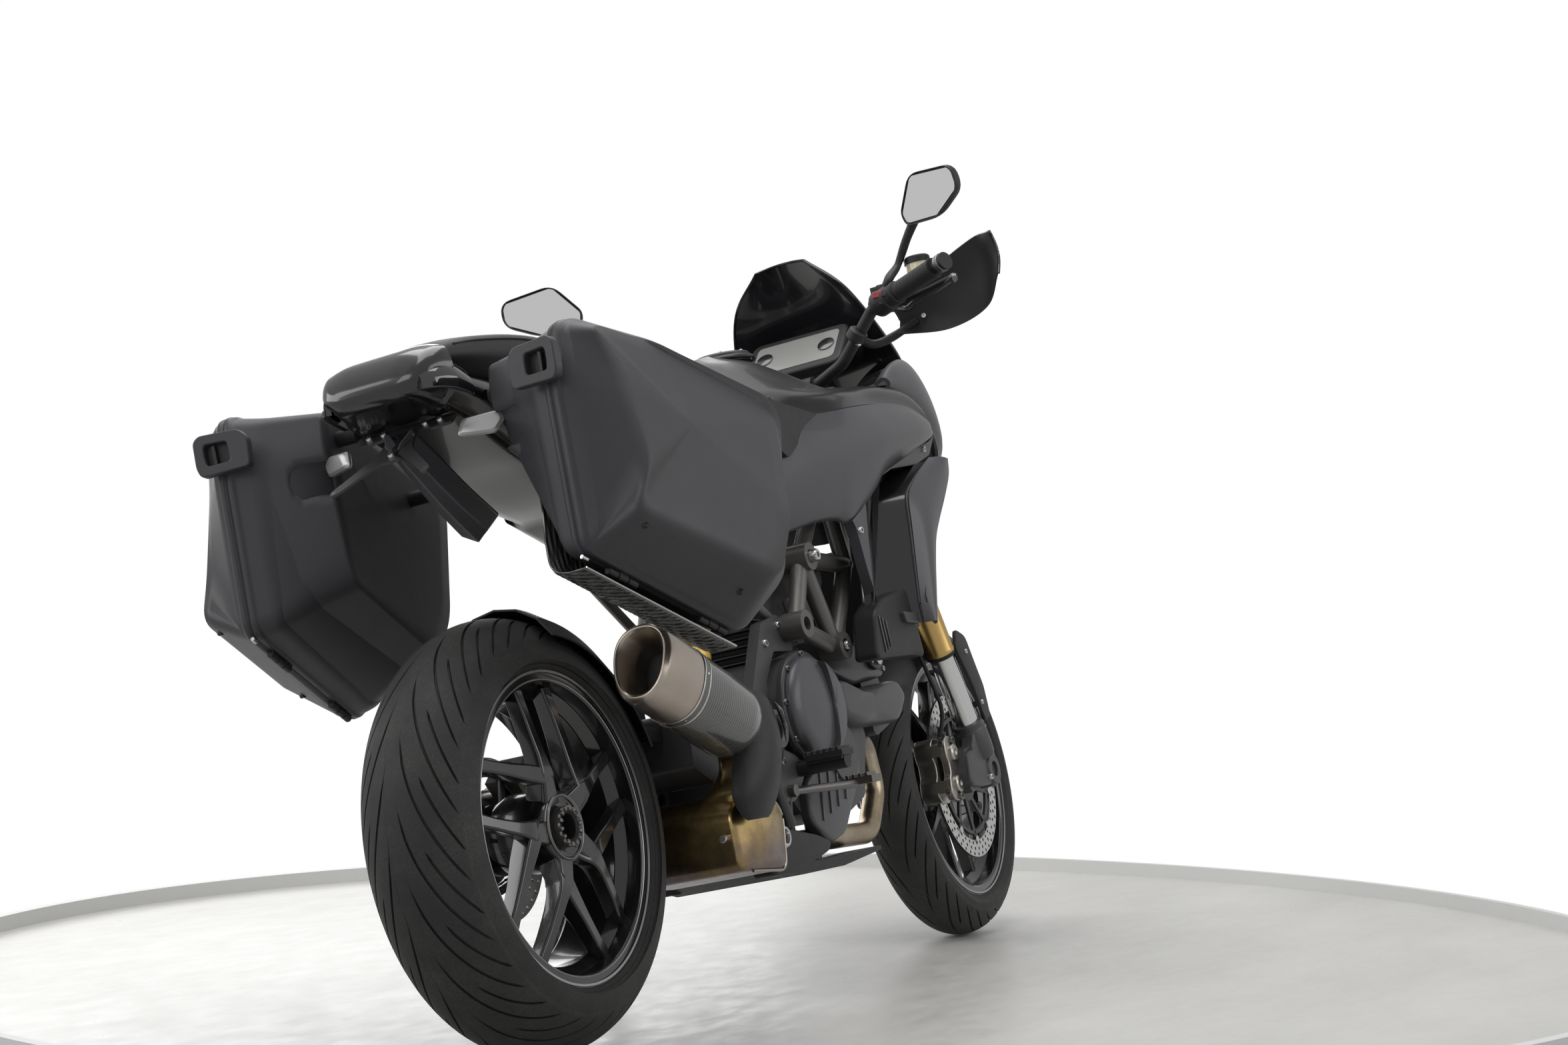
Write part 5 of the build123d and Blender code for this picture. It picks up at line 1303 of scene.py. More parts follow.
# Right-hand guide lines of the tank and side panel, each with one point per station, rear to front
flank = {
    "x": (690, 740, 800, 862, 900, 944, 1006, 1062, 1147, 1243, 1310, 1340),
    "lower": (746, 756, 767, 771, 765, 785, 817, 852, 880, 906, 925, 938),
    "lowerOut": (150, 165, 180, 190, 194, 198, 202, 204, 205, 203, 198, 194),
    "waist": (850, 858, 866, 872, 876, 884, 896, 908, 922, 936, 946, 945),
    "waistOut": (176, 190, 204, 214, 220, 225, 230, 232, 230, 224, 213, 200),
    "band": (930, 938, 945, 950, 954, 960, 968, 974, 982, 982, 968, 949),
    "bandOut": (160, 172, 184, 192, 197, 202, 206, 208, 208, 206, 201, 195),
    "thickness": 8.0,
}
# Above the band: shoulder, slope and crown, the last one running round the bars' sweep at the front
tankTop = {
    "shoulder": ((690, 118, 984), (740, 132, 996), (800, 140, 1006), (862, 144, 1008), (900, 146, 1008),
                 (944, 148, 1009),
                 (1006, 152, 1010), (1062, 160, 1011), (1140, 182, 1016), (1235, 190, 1012),
                 (1308, 190, 984), (1340, 190, 952)),
    "slope": ((690, 60, 1000), (740, 62, 1028), (800, 64, 1054), (862, 66, 1066), (900, 68, 1070),
              (936, 70, 1070),
              (978, 84, 1058), (1034, 124, 1022), (1112, 168, 1016), (1228, 182, 1006), (1306, 185, 977),
              (1338, 187, 947)),
    "crown": ((690, 0, 1004), (740, 0, 1040), (800, 0, 1076), (862, 0, 1094), (900, 0, 1100),
              (930, 0, 1104),
              (948, 0, 1103), (990, 86, 1050), (1085, 152, 1014), (1220, 175, 1000), (1304, 180, 970),
              (1336, 184, 942)),
}
intake = {
    "stripEdge": ((1205, 872), (1111, 862), (1013, 832), (980, 808), (967, 792), (955, 749), (948, 694),
                  (937, 640), (922, 604)),
    "lipInner": ((1221, 875), (1155, 845), (1098, 813), (1084, 790), (1078, 745), (1068, 689), (1057, 622),
                 (1056, 600), (1060, 574)),
    "lipOuter": ((1273, 878), (1262, 846), (1223, 804), (1178, 762), (1146, 728), (1122, 684), (1098, 628),
                 (1084, 596), (1068, 570)),
    "stripBack": ((898, 761), (908, 748), (914, 714), (923, 667), (936, 628), (940, 604)),
    "stripOut": 208.0, "lipInnerOut": 240.0, "lipOuterOut": 252.0, "depth": 62.0,
}
nose = {
    "lower": ((1203, 190, 1024), (1264, 190, 1004), (1340, 188, 972), (1410, 178, 946), (1480, 150, 915),
              (1550, 105, 897), (1603, 55, 894), (1626, 10, 906)),
    "sideLow": ((1203, 196, 1028), (1264, 199, 1022), (1340, 200, 1002), (1410, 190, 972), (1480, 163, 938),
                (1550, 117, 912), (1607, 60, 902), (1630, 12, 909)),
    "sideHigh": ((1203, 196, 1032), (1264, 197, 1050), (1340, 195, 1050), (1410, 182, 1025),
                 (1480, 153, 988), (1550, 108, 952), (1605, 54, 926), (1630, 11, 916)),
    "shoulder": ((1203, 190, 1037), (1264, 187, 1068), (1340, 176, 1084), (1410, 156, 1074),
                 (1480, 122, 1044), (1550, 82, 1003), (1600, 40, 958), (1628, 8, 921)),
    "top": ((1204, 181, 1034), (1266, 172, 1062), (1345, 150, 1080), (1412, 104, 1080), (1480, 66, 1060),
            (1548, 40, 1022), (1596, 20, 972), (1625, 5, 925)),
    "ridge": ((1205, 174, 1030), (1268, 164, 1056), (1350, 126, 1076), (1414, 60, 1080), (1478, 0, 1064),
              (1545, 0, 1028), (1592, 0, 980), (1624, 0, 928)),
}


def smoothNet(net, rowSteps=6, colSteps=6):
    # the Catmull-Rom curve run first down the rows of a net of points and then across them
    n = np.asarray(net, float)
    down = spline(n.reshape(n.shape[0], -1), rowSteps).reshape(-1, n.shape[1], 3)
    across = spline(down.transpose(1, 0, 2).reshape(n.shape[1], -1), colSteps)
    return across.reshape(-1, down.shape[0], 3).transpose(1, 0, 2)


def shellOf(grid, inward):
    # the surface closed by itself moved along its own normal: q = p - n t, n = (dp/du x dp/dv) / |..|
    g = np.asarray(grid, float)
    n = np.cross(np.gradient(g, axis=0), np.gradient(g, axis=1))
    n /= np.maximum(np.linalg.norm(n, axis=-1, keepdims=True), 1e-9)
    return lofted(np.concatenate([g, (g - n * inward)[:, ::-1]], 1))


def rightward(rows):
    # (x, out, z) to the right-hand side: y = -out
    return np.asarray(rows, float) * (1, -1, 1)


def flankNet():
    # rows of the flank: lower edge, hem, middle, waist, upper middle and band
    f = flank
    x = np.array(f["x"], float)
    line = lambda out, z: np.stack([x, np.array(out, float), np.array(z, float)], -1)
    lower, waist, band = (line(f[k + "Out"], f[k]) for k in ("lower", "waist", "band"))
    hem = lower + (0, 10, 8)
    mid = (lower * 0.5 + waist * 0.5) + (0, 7, 0)
    high = (waist + band) / 2 + (0, 4, 0)
    return np.stack([lower, hem, mid, waist, high, band], 1)


def topNet():
    # rows above it: band, a row 0.45 band + 0.55 shoulder, shoulder, slope and crown
    f = flank
    band = np.stack([np.array(f[k], float) for k in ("x", "bandOut", "band")], -1)
    shoulder, slope, crown = (np.array(tankTop[k], float) for k in ("shoulder", "slope", "crown"))
    upper = band * 0.45 + shoulder * 0.55 + (0, 9, 5)
    return np.stack([band, upper, shoulder, slope, crown], 1)


def alongCurve(points, out, steps=6):
    # a side-view line (x, z) lifted to one distance from the middle
    p = np.asarray(points, float)
    o = np.broadcast_to(np.asarray(out, float), (len(p),))
    return spline(np.stack([p[:, 0], -o, p[:, 1]], -1), steps)


def buildBody():
    # flank and tank skins, with the seams that lie on their shared lines
    thick = flank["thickness"]
    side = smoothNet(rightward(flankNet()))
    top = smoothNet(rightward(topNet()))
    grey, black, glossy = "satinGrey", "bandBlackAndPaintedReflection", "blackGloss"
    piece("sidePanels", bothSides(shellOf(side, -thick)), grey, sharp=50,
          replaces=("side_fairing_right", "side_fairing_left"))
    # the tank from the band up is satin black: black paint on the band, painted reflection over the slope and
    # crown
    piece("tankTop", bothSides(shellOf(top, -thick)), black, sharp=50,
          replaces=("fuel_tank",))
    seam = side[:, -1] + (0, -0.4, 0.5)
    piece("tankSeam", bothSides(tube(seam, 1.8, sides=8)), "softRubber")
    hem = side[:, 0] + (0, -1.5, -1.0)
    piece("panelHem", bothSides(tube(hem, 2.6, sides=8)), glossy)
    print("body: panels", side.shape, "tank", top.shape)


def buildIntake():
    # duct, lip, strips, louvres and lower shrouds ahead of the engine
    n = intake
    grey, black, glossy = "satinGrey", "blackPlastic", "blackGloss"
    inner, lipIn = alongCurve(n["stripEdge"], n["stripOut"]), alongCurve(n["lipInner"], n["lipInnerOut"])
    lipOut = alongCurve(n["lipOuter"], n["lipOuterOut"])
    u = np.linspace(0, 1, 22)[:, None, None]
    # duct wall: p = (1-u) a + u b, pushed in by depth sin(pi u)
    duct = (1 - u) * inner + u * lipIn
    duct[..., 1] += n["depth"] * np.sin(math.pi * u[..., 0])
    piece("intakeDuct", bothSides(shellOf(duct.transpose(1, 0, 2), 3)), glossy, sharp=60)
    # lip blade: p = (1-u) a + u b, bowed out by 9 sin(pi u)
    blade = (1 - u) * lipIn + u * lipOut
    blade[..., 1] -= 9 * np.sin(math.pi * u[..., 0])
    piece("intakeLips", bothSides(shellOf(blade.transpose(1, 0, 2), -6)), grey, sharp=50)
    edge = tube(lipIn + (-1, 0, 0), 3.2, sides=10)
    piece("intakeLipEdges", bothSides(edge), "castGrey")
    hole = [(-7, -15), (7, -15), (7, 15), (-7, 15)]
    at = ((1071, -249, 622), (math.cos(0.35), 0, -math.sin(0.35)), (math.sin(0.35), 0, math.cos(0.35)),
          (0, -1, 0))
    piece("lipSlots", bothSides(prism(rounded(hole, 7), 0, 5, at)), "softRubber", bevel=0.8)
    rim = rounded([(-10, -18), (10, -18), (10, 18), (-10, 18)], 10, perEdge=3)
    ring = np.array([np.array(at[0]) + q[0] * np.array(at[1]) + q[1] * np.array(at[2]) + (0, -4, 0)
                     for q in rim])
    piece("lipSlotRims", bothSides(tube(np.vstack([ring, ring[:2]]), 1.6, sides=8)), grey)
    # front strip between the panel's hem and the duct, tapering to a point below
    upper = [(x, z - 3) for x, z in zip(flank["x"][4:], flank["lower"][4:])]
    lower = list(n["stripEdge"])
    outline = upper + [(1301, 896), (1233, 876)] + lower + list(n["stripBack"])[::-1][1:]
    strip = prism(rounded(outline, 7, perCorner=4, perEdge=2), 192, 212, rightSideView)
    piece("frontStrips", bothSides(strip), grey, bevel=2.5, segments=3)
    slots = []
    for k in range(3):
        along = 1158 + 46 * k
        run = [(along - 18, 884 + 12 * k), (along + 17, 892 + 12 * k), (along + 14, 898 + 12 * k),
               (along - 20, 890 + 12 * k)]
        slots.append(prism(rounded(run, 2.5, perEdge=0), 210, 213.5, rightSideView))
    piece("stripLouvres", bothSides(bundle(*slots)), "softRubber", bevel=0.5)
    bolts = [bolt((920, -212, 744), (0, -1, 0), 7), bolt((1098, -232, 583), (0, -1, 0), 7),
             bolt((1275, -212, 905), (0, -1, 0), 6)]
    piece("cowlBolts", bothSides(bundle(*bolts)), "steel")
    shroud = [(936, 620), (894, 598), (870, 516), (1031, 520), (1074, 515), (1066, 560), (1052, 600),
              (1046, 640)]
    low = prism(rounded(shroud, 14), 176, 224, rightSideView)
    piece("lowerShrouds", bothSides(low), black, bevel=7, segments=4)
    block = prism(rounded([(996, 596), (1074, 592), (1068, 574), (1002, 577)], 5), 222, 232, rightSideView)
    piece("shroudTabs", bothSides(block), "castGrey", bevel=2)
    ribs = [tube(np.linspace((905 + 12 * k, -225, 526 + 5 * k), (900 + 12 * k, -225, 590 - 4 * k), 5), 1.6,
                 sides=8) for k in range(3)]
    piece("shroudRibs", bothSides(bundle(*ribs)), glossy)
    cover = rounded([(684, 975), (699, 966), (863, 952), (850, 941), (810, 920), (718, 868), (690, 880)], 9)
    piece("seatSideCovers", bothSides(prism(cover, 182, 200, rightSideView)), black,
          bevel=5, segments=4)
    print("body: intakes and strips")


def buildNose():
    # skin through six lines, their seam, underside and grille
    rows = ("lower", "sideLow", "sideHigh", "shoulder", "top", "ridge")
    net = np.stack([np.array(nose[k], float) for k in rows], 1)
    grid = smoothNet(rightward(net))
    piece("noseShell", bothSides(shellOf(grid, -7)), "satinGrey", sharp=50,
          replaces=("nose_fairing",))
    split = grid[:, 12] + (0, -0.6, 0)
    piece("noseSeam", bothSides(tube(split, 1.7, sides=8)), "softRubber")
    under = [(x, -out + 6, z) for x, out, z in nose["lower"][1:6]]
    keel = np.array([under, [(x, -0.45 * abs(y), z + 16) for x, y, z in under]]).transpose(1, 0, 2)
    keep = keel[2:]
    piece("noseUnderside", bothSides(shellOf(smoothNet(keep, 5, 4), 5)), "blackPlastic")
    grille = [tube(np.linspace((1470 + 22 * k, -112 + 12 * k, 905), (1470 + 22 * k, 112 - 12 * k, 905), 9),
                   2.4, sides=8) for k in range(4)]
    piece("noseGrille", bundle(*grille), "blackPlastic")
    print("body: nose", grid.shape)


def buildScreen():
    # p(u, v) = spine(v) - bow u^2 along the normal, y = half(v) u
    spine = spline([(1448, 160, 45, 1074), (1385, 162, 55, 1155), (1310, 120, 40, 1262),
                    (1272, 52, 12, 1318)], 10)
    u = np.linspace(-1, 1, 41)[None, :]
    x, half, bow, z = (spine[:, k, None] for k in range(4))
    lift = bow * u ** 2
    grid = np.stack([x - 0.83 * lift + 0 * u, half * u, z - 0.55 * lift + 0 * u], -1)
    piece("screenPane", shellOf(grid, 4.5), "screenTint", bevel=1, sharp=40,
          replaces=("windscreen",))
    rim = np.vstack([grid[0], grid[1:, -1], grid[-1, ::-1][1:], grid[::-1, 0][1:]])
    piece("screenEdge", tube(rim, 2.6, sides=8), "blackGloss")
    studs = [bolt(grid[r, c] + (-3, 0, 2), (-0.83, 0, 0.55), 6.5) for r in (3, 12) for c in (6, 34)]
    piece("screenStuds", bundle(*studs), "darkSteel")
    facing = ((1262, 0, 1140), (0, 1, 0), (0.7071, 0, 0.7071), (-0.7071, 0, 0.7071))
    housing = prism(rounded([(-104, -58), (104, -58), (104, 58), (-104, 58)], 22), -24, 3, facing)
    face = prism(rounded([(-88, -42), (88, -42), (88, 42), (-88, 42)], 12), 2.6, 4.2, facing)
    piece("instrumentHousing", housing, "blackPlastic", bevel=5, segments=4)
    piece("instrumentFace", face, "display", bevel=0.6)
    dials = [aimed(lathed([(0, 0), (15, 0), (17, 2.2), (15, 2.8), (0, 2.8)], axis="z", sides=40),
                   np.array((1262, y, 1140)) + 4 * np.array((-0.7071, 0, 0.7071)), (-0.7071, 0, 0.7071))
                   for y in (-66, 66)]
    piece("instrumentDials", bundle(*dials), "blackGloss")
    cap = lathed([(0, 0), (51, 0), (51, 14), (48, 17), (34, 17), (32, 15), (12, 15), (10, 17.6), (0, 17.6)],
                 (945, 0, 1094), "z", 72)
    piece("fuelCap", cap, "anodisedBlack", sharp=30, replaces=("fuel_cap",))
    ring = [bolt((945 + 42 * math.cos(a), 42 * math.sin(a), 1111), (0, 0, 1), 3.6)
            for a in np.arange(6) * math.pi / 3 + 0.4]
    piece("fuelCapBolts", bundle(*ring), "steel")
    collar = tube([(945 + 56 * math.cos(a), 56 * math.sin(a), 1099 + 0.0 * a)
                   for a in np.linspace(0, 2 * math.pi, 61)], 4, sides=10)
    piece("fuelCapCollar", collar, "bandBlackAndPaintedReflection")
    print("body: screen, instrument, cap")


buildBody()
buildIntake()
buildNose()
buildScreen()


pipeSizes = {
    "tip": (96.0, -192.0, 536.0), "front": (372.0, -188.0, 424.0),
    # distance from the tip, half width, half height
    "shell": [(0, 50, 60), (6, 54, 64), (24, 56, 64), (60, 59, 62), (98, 61, 60)],
    "sleeve": [(104, 60.5, 59.5), (180, 62, 60), (262, 61, 58), (284, 55, 52)],
    "throat": (0.86, 0.54),
}


def mufflerPlace(rings):
    # (along the muffler, outward, up its face) to the upright machine
    o, front = np.array(pipeSizes["tip"]), np.array(pipeSizes["front"])
    w = (front - o) / np.linalg.norm(front - o)
    u = np.array((0, -1.0, 0))
    v = np.cross(w, u)
    v = v if v[2] > 0 else -v
    p = np.asarray(rings, float)
    return o + p[..., :1] * w + p[..., 1:2] * u + p[..., 2:] * v


def mufflerRing(along, half, tall, count=72):
    # rounded triangle: an ellipse whose half width narrows towards the bottom
    a = np.linspace(0, 2 * math.pi, count, endpoint=False)
    up = np.sign(np.sin(a)) * np.abs(np.sin(a)) ** 0.86
    wide = np.sign(np.cos(a)) * np.abs(np.cos(a)) ** 0.86
    pinch = 1 - 0.2 * (0.5 - 0.5 * up)
    return np.column_stack([np.full(count, along), half * wide * pinch, tall * up])


def bandAround(along, width, grow, station):
    # band of the given width standing grow proud of the muffler
    half, tall = station
    rings = [mufflerRing(along, half, tall), mufflerRing(along, half + grow, tall + grow),
             mufflerRing(along + width, half + grow, tall + grow), mufflerRing(along + width, half, tall)]
    return lofted(mufflerPlace(np.array(rings)), loop=True)


def buildMuffler():
    # end cap with its throat, bands, strap, rivets and sleeve
    mouth, throat = pipeSizes["throat"]
    h0, t0 = pipeSizes["shell"][0][1:]
    outside = softRings(np.array([mufflerRing(*s) for s in pipeSizes["shell"]]), 5, 4)
    inside = [mufflerRing(-2.0, h0 * 0.97, t0 * 0.97), mufflerRing(-2.5, h0 * 0.92, t0 * 0.92),
              mufflerRing(0, h0 * mouth, t0 * mouth), mufflerRing(14, h0 * 0.72, t0 * 0.76),
              mufflerRing(34, h0 * throat, t0 * 0.64), mufflerRing(90, h0 * throat * 0.96, t0 * 0.62)]
    inner = softRings(np.array(inside)[::-1], 4, 4)
    piece("mufflerCap", lofted(mufflerPlace(np.concatenate([inner, outside]))), "titanium", sharp=42,
          replaces=["muffler_end_cap"])
    dark = np.array([mufflerRing(62, h0 * throat, t0 * 0.63), mufflerRing(64, h0 * throat * 0.2, t0 * 0.2)])
    piece("mufflerDark", lofted(mufflerPlace(dark)), "blackPlastic")
    seam = bundle(bandAround(97, 3.5, 1.6, (61, 60)), bandAround(113, 3, 1.6, (60.8, 59.6)))
    piece("mufflerBands", seam, "steel", bevel=0.5)
    piece("mufflerStrap", bandAround(101, 12, 0.9, (60.9, 59.8)), "darkSteel", bevel=0.3)
    rivets = []
    for k in range(9):
        a = math.radians(-150 + 40 * k)
        up, wide = math.sin(a), math.cos(a)
        p = (107.0, 61.8 * wide * (1 - 0.2 * (0.5 - 0.5 * up)), 60.7 * up)
        q = (107.0, p[1] + wide, p[2] + up)
        here, out = mufflerPlace(np.array([p, q]))
        rivets.append(aimed(lathed([(0, -1), (2.6, -1), (2.4, 0.8), (1.2, 1.7), (0, 1.9)], axis="z",
                                   sides=12), here, out - here))
    piece("mufflerRivets", bundle(*rivets), "steel")
    body = softRings(np.array([mufflerRing(*s) for s in pipeSizes["sleeve"]]), 8, 4)
    piece("mufflerSleeve", lofted(mufflerPlace(body)), "carbon", sharp=42,
          replaces=["muffler"])


def buildGuard():
    # cover ahead of the muffler: crescent sections from its top down to the collector
    z, x0, x1, bulge = np.array([(478, 372, 432, 10), (464, 352, 446, 24), (434, 338, 454, 34),
                                 (396, 326, 454, 38), (352, 300, 444, 36), (318, 290, 426, 28),
                                 (292, 308, 402, 16), (282, 326, 386, 8)], float).T
    t = np.linspace(0, 1, 25)
    arch = np.sin(math.pi * t ** 0.85) ** 0.62
    outer = np.stack([x0[:, None] + (x1 - x0)[:, None] * t, -205 - bulge[:, None] * arch,
                      z[:, None] + 0 * t], -1)
    outer = spline(outer.reshape(len(z), -1), 6).reshape(-1, 25, 3)
    inner = outer + (0, 5.0, 0)
    piece("mufflerGuard", lofted(np.concatenate([outer, inner[:, ::-1]], 1)), "blackPlastic", sharp=45,
          replaces=["muffler_guard"])
    # long narrow opening near its front edge
    low = np.array([(440, -233, 392), (438, -236, 420), (432, -236, 442), (424, -234, 456)])
    piece("mufflerGuardSlot", tube(low, [0.8, 3.4, 4.6, 1.0], 10, smooth=6), "blackGloss")
    post = bundle(rodBetween((436, -212, 366), (541, -146, 352), 8),
                  rodBetween((541, -152, 350), (541, -128.4, 350), 9))
    piece("mufflerPost", post, "darkSteel")


def buildCollector():
    # box, riser, weld bead and pin
    outline = np.array([(350, 208), (502, 196), (524, 288), (474, 330), (398, 330), (348, 300)], float)
    stations = [(-171, 20), (-164, 6), (-158, 0), (40, 0), (60, 5), (70, 18)]
    rings = []
    for y, inset in stations:
        way = outline.mean(0) - outline
        ring = rounded(outline + way / np.linalg.norm(way, axis=1, keepdims=True) * inset, 20, 6, 5)
        rings.append(np.column_stack([ring[:, 0], np.full(len(ring), y), ring[:, 1]]))
    box = softRings(np.array(rings), 6, 4)
    # folded riser: round at the muffler, four-sided and ridged where it meets the box
    count = 32
    a = np.linspace(0, 2 * math.pi, count, endpoint=False)

    def loop(centre, half, side, square, tilt):
        # |x / half|^n + |y / side|^n = 1, raised by tilt x
        c, s = np.cos(a), np.sin(a)
        p = np.abs(c) ** square + np.abs(s) ** square
        k = p ** (-1 / square)
        x, y = half * c * k, side * s * k
        return np.column_stack([centre[0] + x, centre[1] + y, centre[2] + tilt * x])

    riser = np.array([loop((366, -186, 424), 30, 42, 2, 1.2), loop((388, -182, 402), 34, 42, 2.2, 0.7),
                      loop((410, -172, 374), 38, 42, 2.8, 0.35), loop((430, -152, 346), 46, 44, 4, 0.12),
                      loop((438, -130, 326), 60, 40, 6, 0.0), loop((438, -120, 318), 60, 44, 6, 0.0)])
    flat = spline(riser.reshape(len(riser), -1), 6).reshape(-1, count, 3)
    piece("collector", bundle(lofted(box), lofted(flat)), "heatSteel", sharp=40,
          replaces=["exhaust_box"])
    ring = rings[2]
    bead = ring[np.argsort(np.arctan2(ring[:, 2] - 262, ring[:, 0] - 440))]
    front = bead[(bead[:, 0] > 372) & (bead[:, 2] < 322)]
    piece("collectorWeld", tube(front + (0, -3, 0), 2.4, 10), "titanium")
    piece("collectorPin", bundle(rodBetween((350, -148, 262), (334, -148, 262), 4.5, 14, 1),
                                 rodBetween((336, -148, 262), (332, -148, 262), 6.5, 14, 1)), "steel")


buildMuffler()
buildGuard()
buildCollector()
print("exhaust: muffler, guard and collector")


motor = {
    "clutch": (716, 450), "clutchRadius": 90.0, "clutchOut": 150.0,
    "sideCover": [(836, 500), (925, 476), (1108, 488), (1136, 458), (1090, 412), (932, 412), (842, 436)],
    "head": [(852, 524), (972, 560), (1080, 566), (1118, 542), (1112, 498), (974, 486)],
    "cap": (1068, 530), "belly": [(508, 190), (536, 250), (572, 266), (694, 242), (740, 226), (728, 212),
                                  (610, 186)],
    "sump": [(800, 376), (930, 380), (926, 336), (824, 236), (762, 222), (700, 262), (704, 330)],
}


def shapedPlate(outline, low, high, crown, radius, rings=5):
    # an outline raised from low to high whose edge rolls over: inset = crown (1 - cos a), out = high -
    # crown (1 - sin a)
    line = rounded(outline, radius, 5, 4)
    way = line.mean(0) - line
    way /= np.linalg.norm(way, axis=1, keepdims=True)
    a = np.linspace(0, math.pi / 2, rings)[:, None]
    inset, out = crown * (1 - np.cos(a)), high - crown * (1 - np.sin(a))
    base = np.column_stack([line[:, 0], np.full(len(line), -low), line[:, 1]])[None]
    roll = np.stack([line[None, :, 0] + way[None, :, 0] * inset, -out + 0 * line[None, :, 0],
                     line[None, :, 1] + way[None, :, 1] * inset], -1)
    return lofted(np.concatenate([base, roll]))


def buildMotor():
    # clutch, head and side covers, fins, sump and bolts
    m = motor
    cx, cz = m["clutch"]
    r, out = m["clutchRadius"], m["clutchOut"]
    flange = lathed([(0, 0), (r + 9, 0), (r + 9, -9), (r + 6, -12), (0, -12)], (cx, -out + 8, cz), "y", 96)
    piece("clutchFlange", flange, "anodisedBlack", bevel=1)
    a = np.linspace(0, math.pi / 2, 12)
    dome = [(0, 4)] + [(r - 1, 4)] + [(58 + (r - 60) * math.cos(t), -8 - 16 * math.sin(t))
                                      for t in a] + [(30, -27), (0, -28)]
    cover = lathed(dome, (cx, -out, cz), "y", 96)
    piece("clutchCover", cover, "satinGrey", sharp=60)
    # raised crescent: one arc of the cover's rim and a flatter arc inside it
    t = np.radians(np.linspace(-74, 74, 22))
    rim = np.column_stack([cx + (r - 12) * np.cos(t), cz + (r - 12) * np.sin(t)])
    back = np.column_stack([cx + 18 + 20 * np.cos(t[::-1]), cz + (r - 14) * np.sin(t[::-1])])
    piece("clutchCrescent", shapedPlate(np.vstack([rim, back]), out + 12, out + 33, 5, 3), "satinGrey",
          bevel=1.5)
    studs = [bolt((cx + (r + 2) * math.cos(k), -out - 3, cz + (r + 2) * math.sin(k)), (0, -1, 0), 6)
             for k in np.radians(np.arange(9) * 40 + 12)]
    piece("clutchBolts", bundle(*studs), "darkSteel")
    piece("headCover", shapedPlate(m["head"], 84, 122, 12, 14), "satinGrey", bevel=1)
    piece("sideCover", shapedPlate(m["sideCover"], 90, 152, 26, 16, 7), "satinGrey", bevel=1)
    px, pz = m["cap"]
    oval = np.column_stack([px + 30 * np.cos(np.linspace(0, 2 * math.pi, 33)[:-1]),
                            pz + 20 * np.sin(np.linspace(0, 2 * math.pi, 33)[:-1])])
    piece("headCap", shapedPlate(oval, 112, 131, 4, 1), "anodisedBlack")
    hub = lathed([(0, 0), (12, 0), (12, 5), (9, 7), (5, 7), (4, 3), (0, 3)], (px, -131, pz), "y", 28)
    p, f = hub
    hub = (np.array([px, -131, pz]) + (p - np.array([px, -131, pz])) * (1, -1, 1), f)
    ends = [bolt((px + s * 25, -130, pz + s * 3), (0, -1, 0), 5) for s in (-1, 1)]
    piece("headCapBolts", bundle(hub, *ends), "steel")
    places = ((850, -120, 488), (905, -126, 486), (1120, -118, 470), (1085, -128, 424), (945, -128, 420),
              (868, -118, 512), (1104, -122, 512))
    covers = [bolt(q, (0, -1, 0), 5) for q in places]
    piece("coverBolts", bundle(*covers), "steel")
    piece("bellyWedge", bothSides(shapedPlate(m["belly"], 96, 136, 10, 12)), "blackPlastic", bevel=1)
    boss = [(11, 0), (17, 0), (18, -3), (16, -5), (12, -5)]
    piece("bellyRing", lathed(boss, (564, -136, 248), "y", 36), "steel")
    piece("sumpPanel", shapedPlate(m["sump"], 106, 126, 8, 18), "satinGrey", bevel=1)
    ribs = [tube([(740 + 34 * k, -127, 262 + 10 * k), (760 + 34 * k, -127, 366)], 2.6, sides=8)
            for k in range(4)]
    piece("sumpRibs", bundle(*ribs), "satinGrey")
    # fins across both barrels: thin slabs stacked square to each barrel's run
    fins = []
    for k in range(6):
        fins.append(boxAt((782 - 3.4 * k, 0, 548 + 13 * k), (150, 178, 3)))
        fins.append(boxAt((932 + 14 * k, 0, 428 + 4 * k), (3, 178, 108)))
    piece("barrelFins", bundle(*fins), "castGrey", bevel=0.8)
    pivot = lathed([(20, 0), (31, 0), (33, -4), (31, -8), (24, -8), (20, -3)], (575, -151, 420), "y", 56)
    piece("pivotRing", pivot, "castGrey")
    places = ((640, -128, 566), (560, -128, 470), (566, -128, 356), (700, -128, 596))
    column = [bolt(q, (0, -1, 0), 7) for q in places]
    piece("plateBolts2", bothSides(bundle(*column)), "steel")
    slot = prism(rounded([(-9, -17), (9, -17), (9, 17), (-9, 17)], 9), 127.6, 131,
                 ((723, 0, 600), (1, 0, 0.2), (-0.2, 0, 1), (0, -1, 0)))
    piece("plateSlots", bothSides(slot), "softRubber", bevel=0.5)
    print("engine: covers, fins and bolts")


def toothedBar(x0, x1, y0, y1, top, thick, teeth):
    # a foot pad whose upper face rises and falls in square teeth
    t = np.arange(teeth * 2 + 1) / (teeth * 2)
    ys = y0 + (y1 - y0) * np.repeat(t, 2)[1:-1]
    zs = top - 5 * np.repeat(np.arange(teeth * 2) % 2, 2)
    line = list(zip(ys, zs)) + [(y1, top - thick), (y0, top - thick)]
    return prism(line, x0, x1, ((0, 0, 0), (0, 1, 0), (0, 0, 1), (1, 0, 0)))


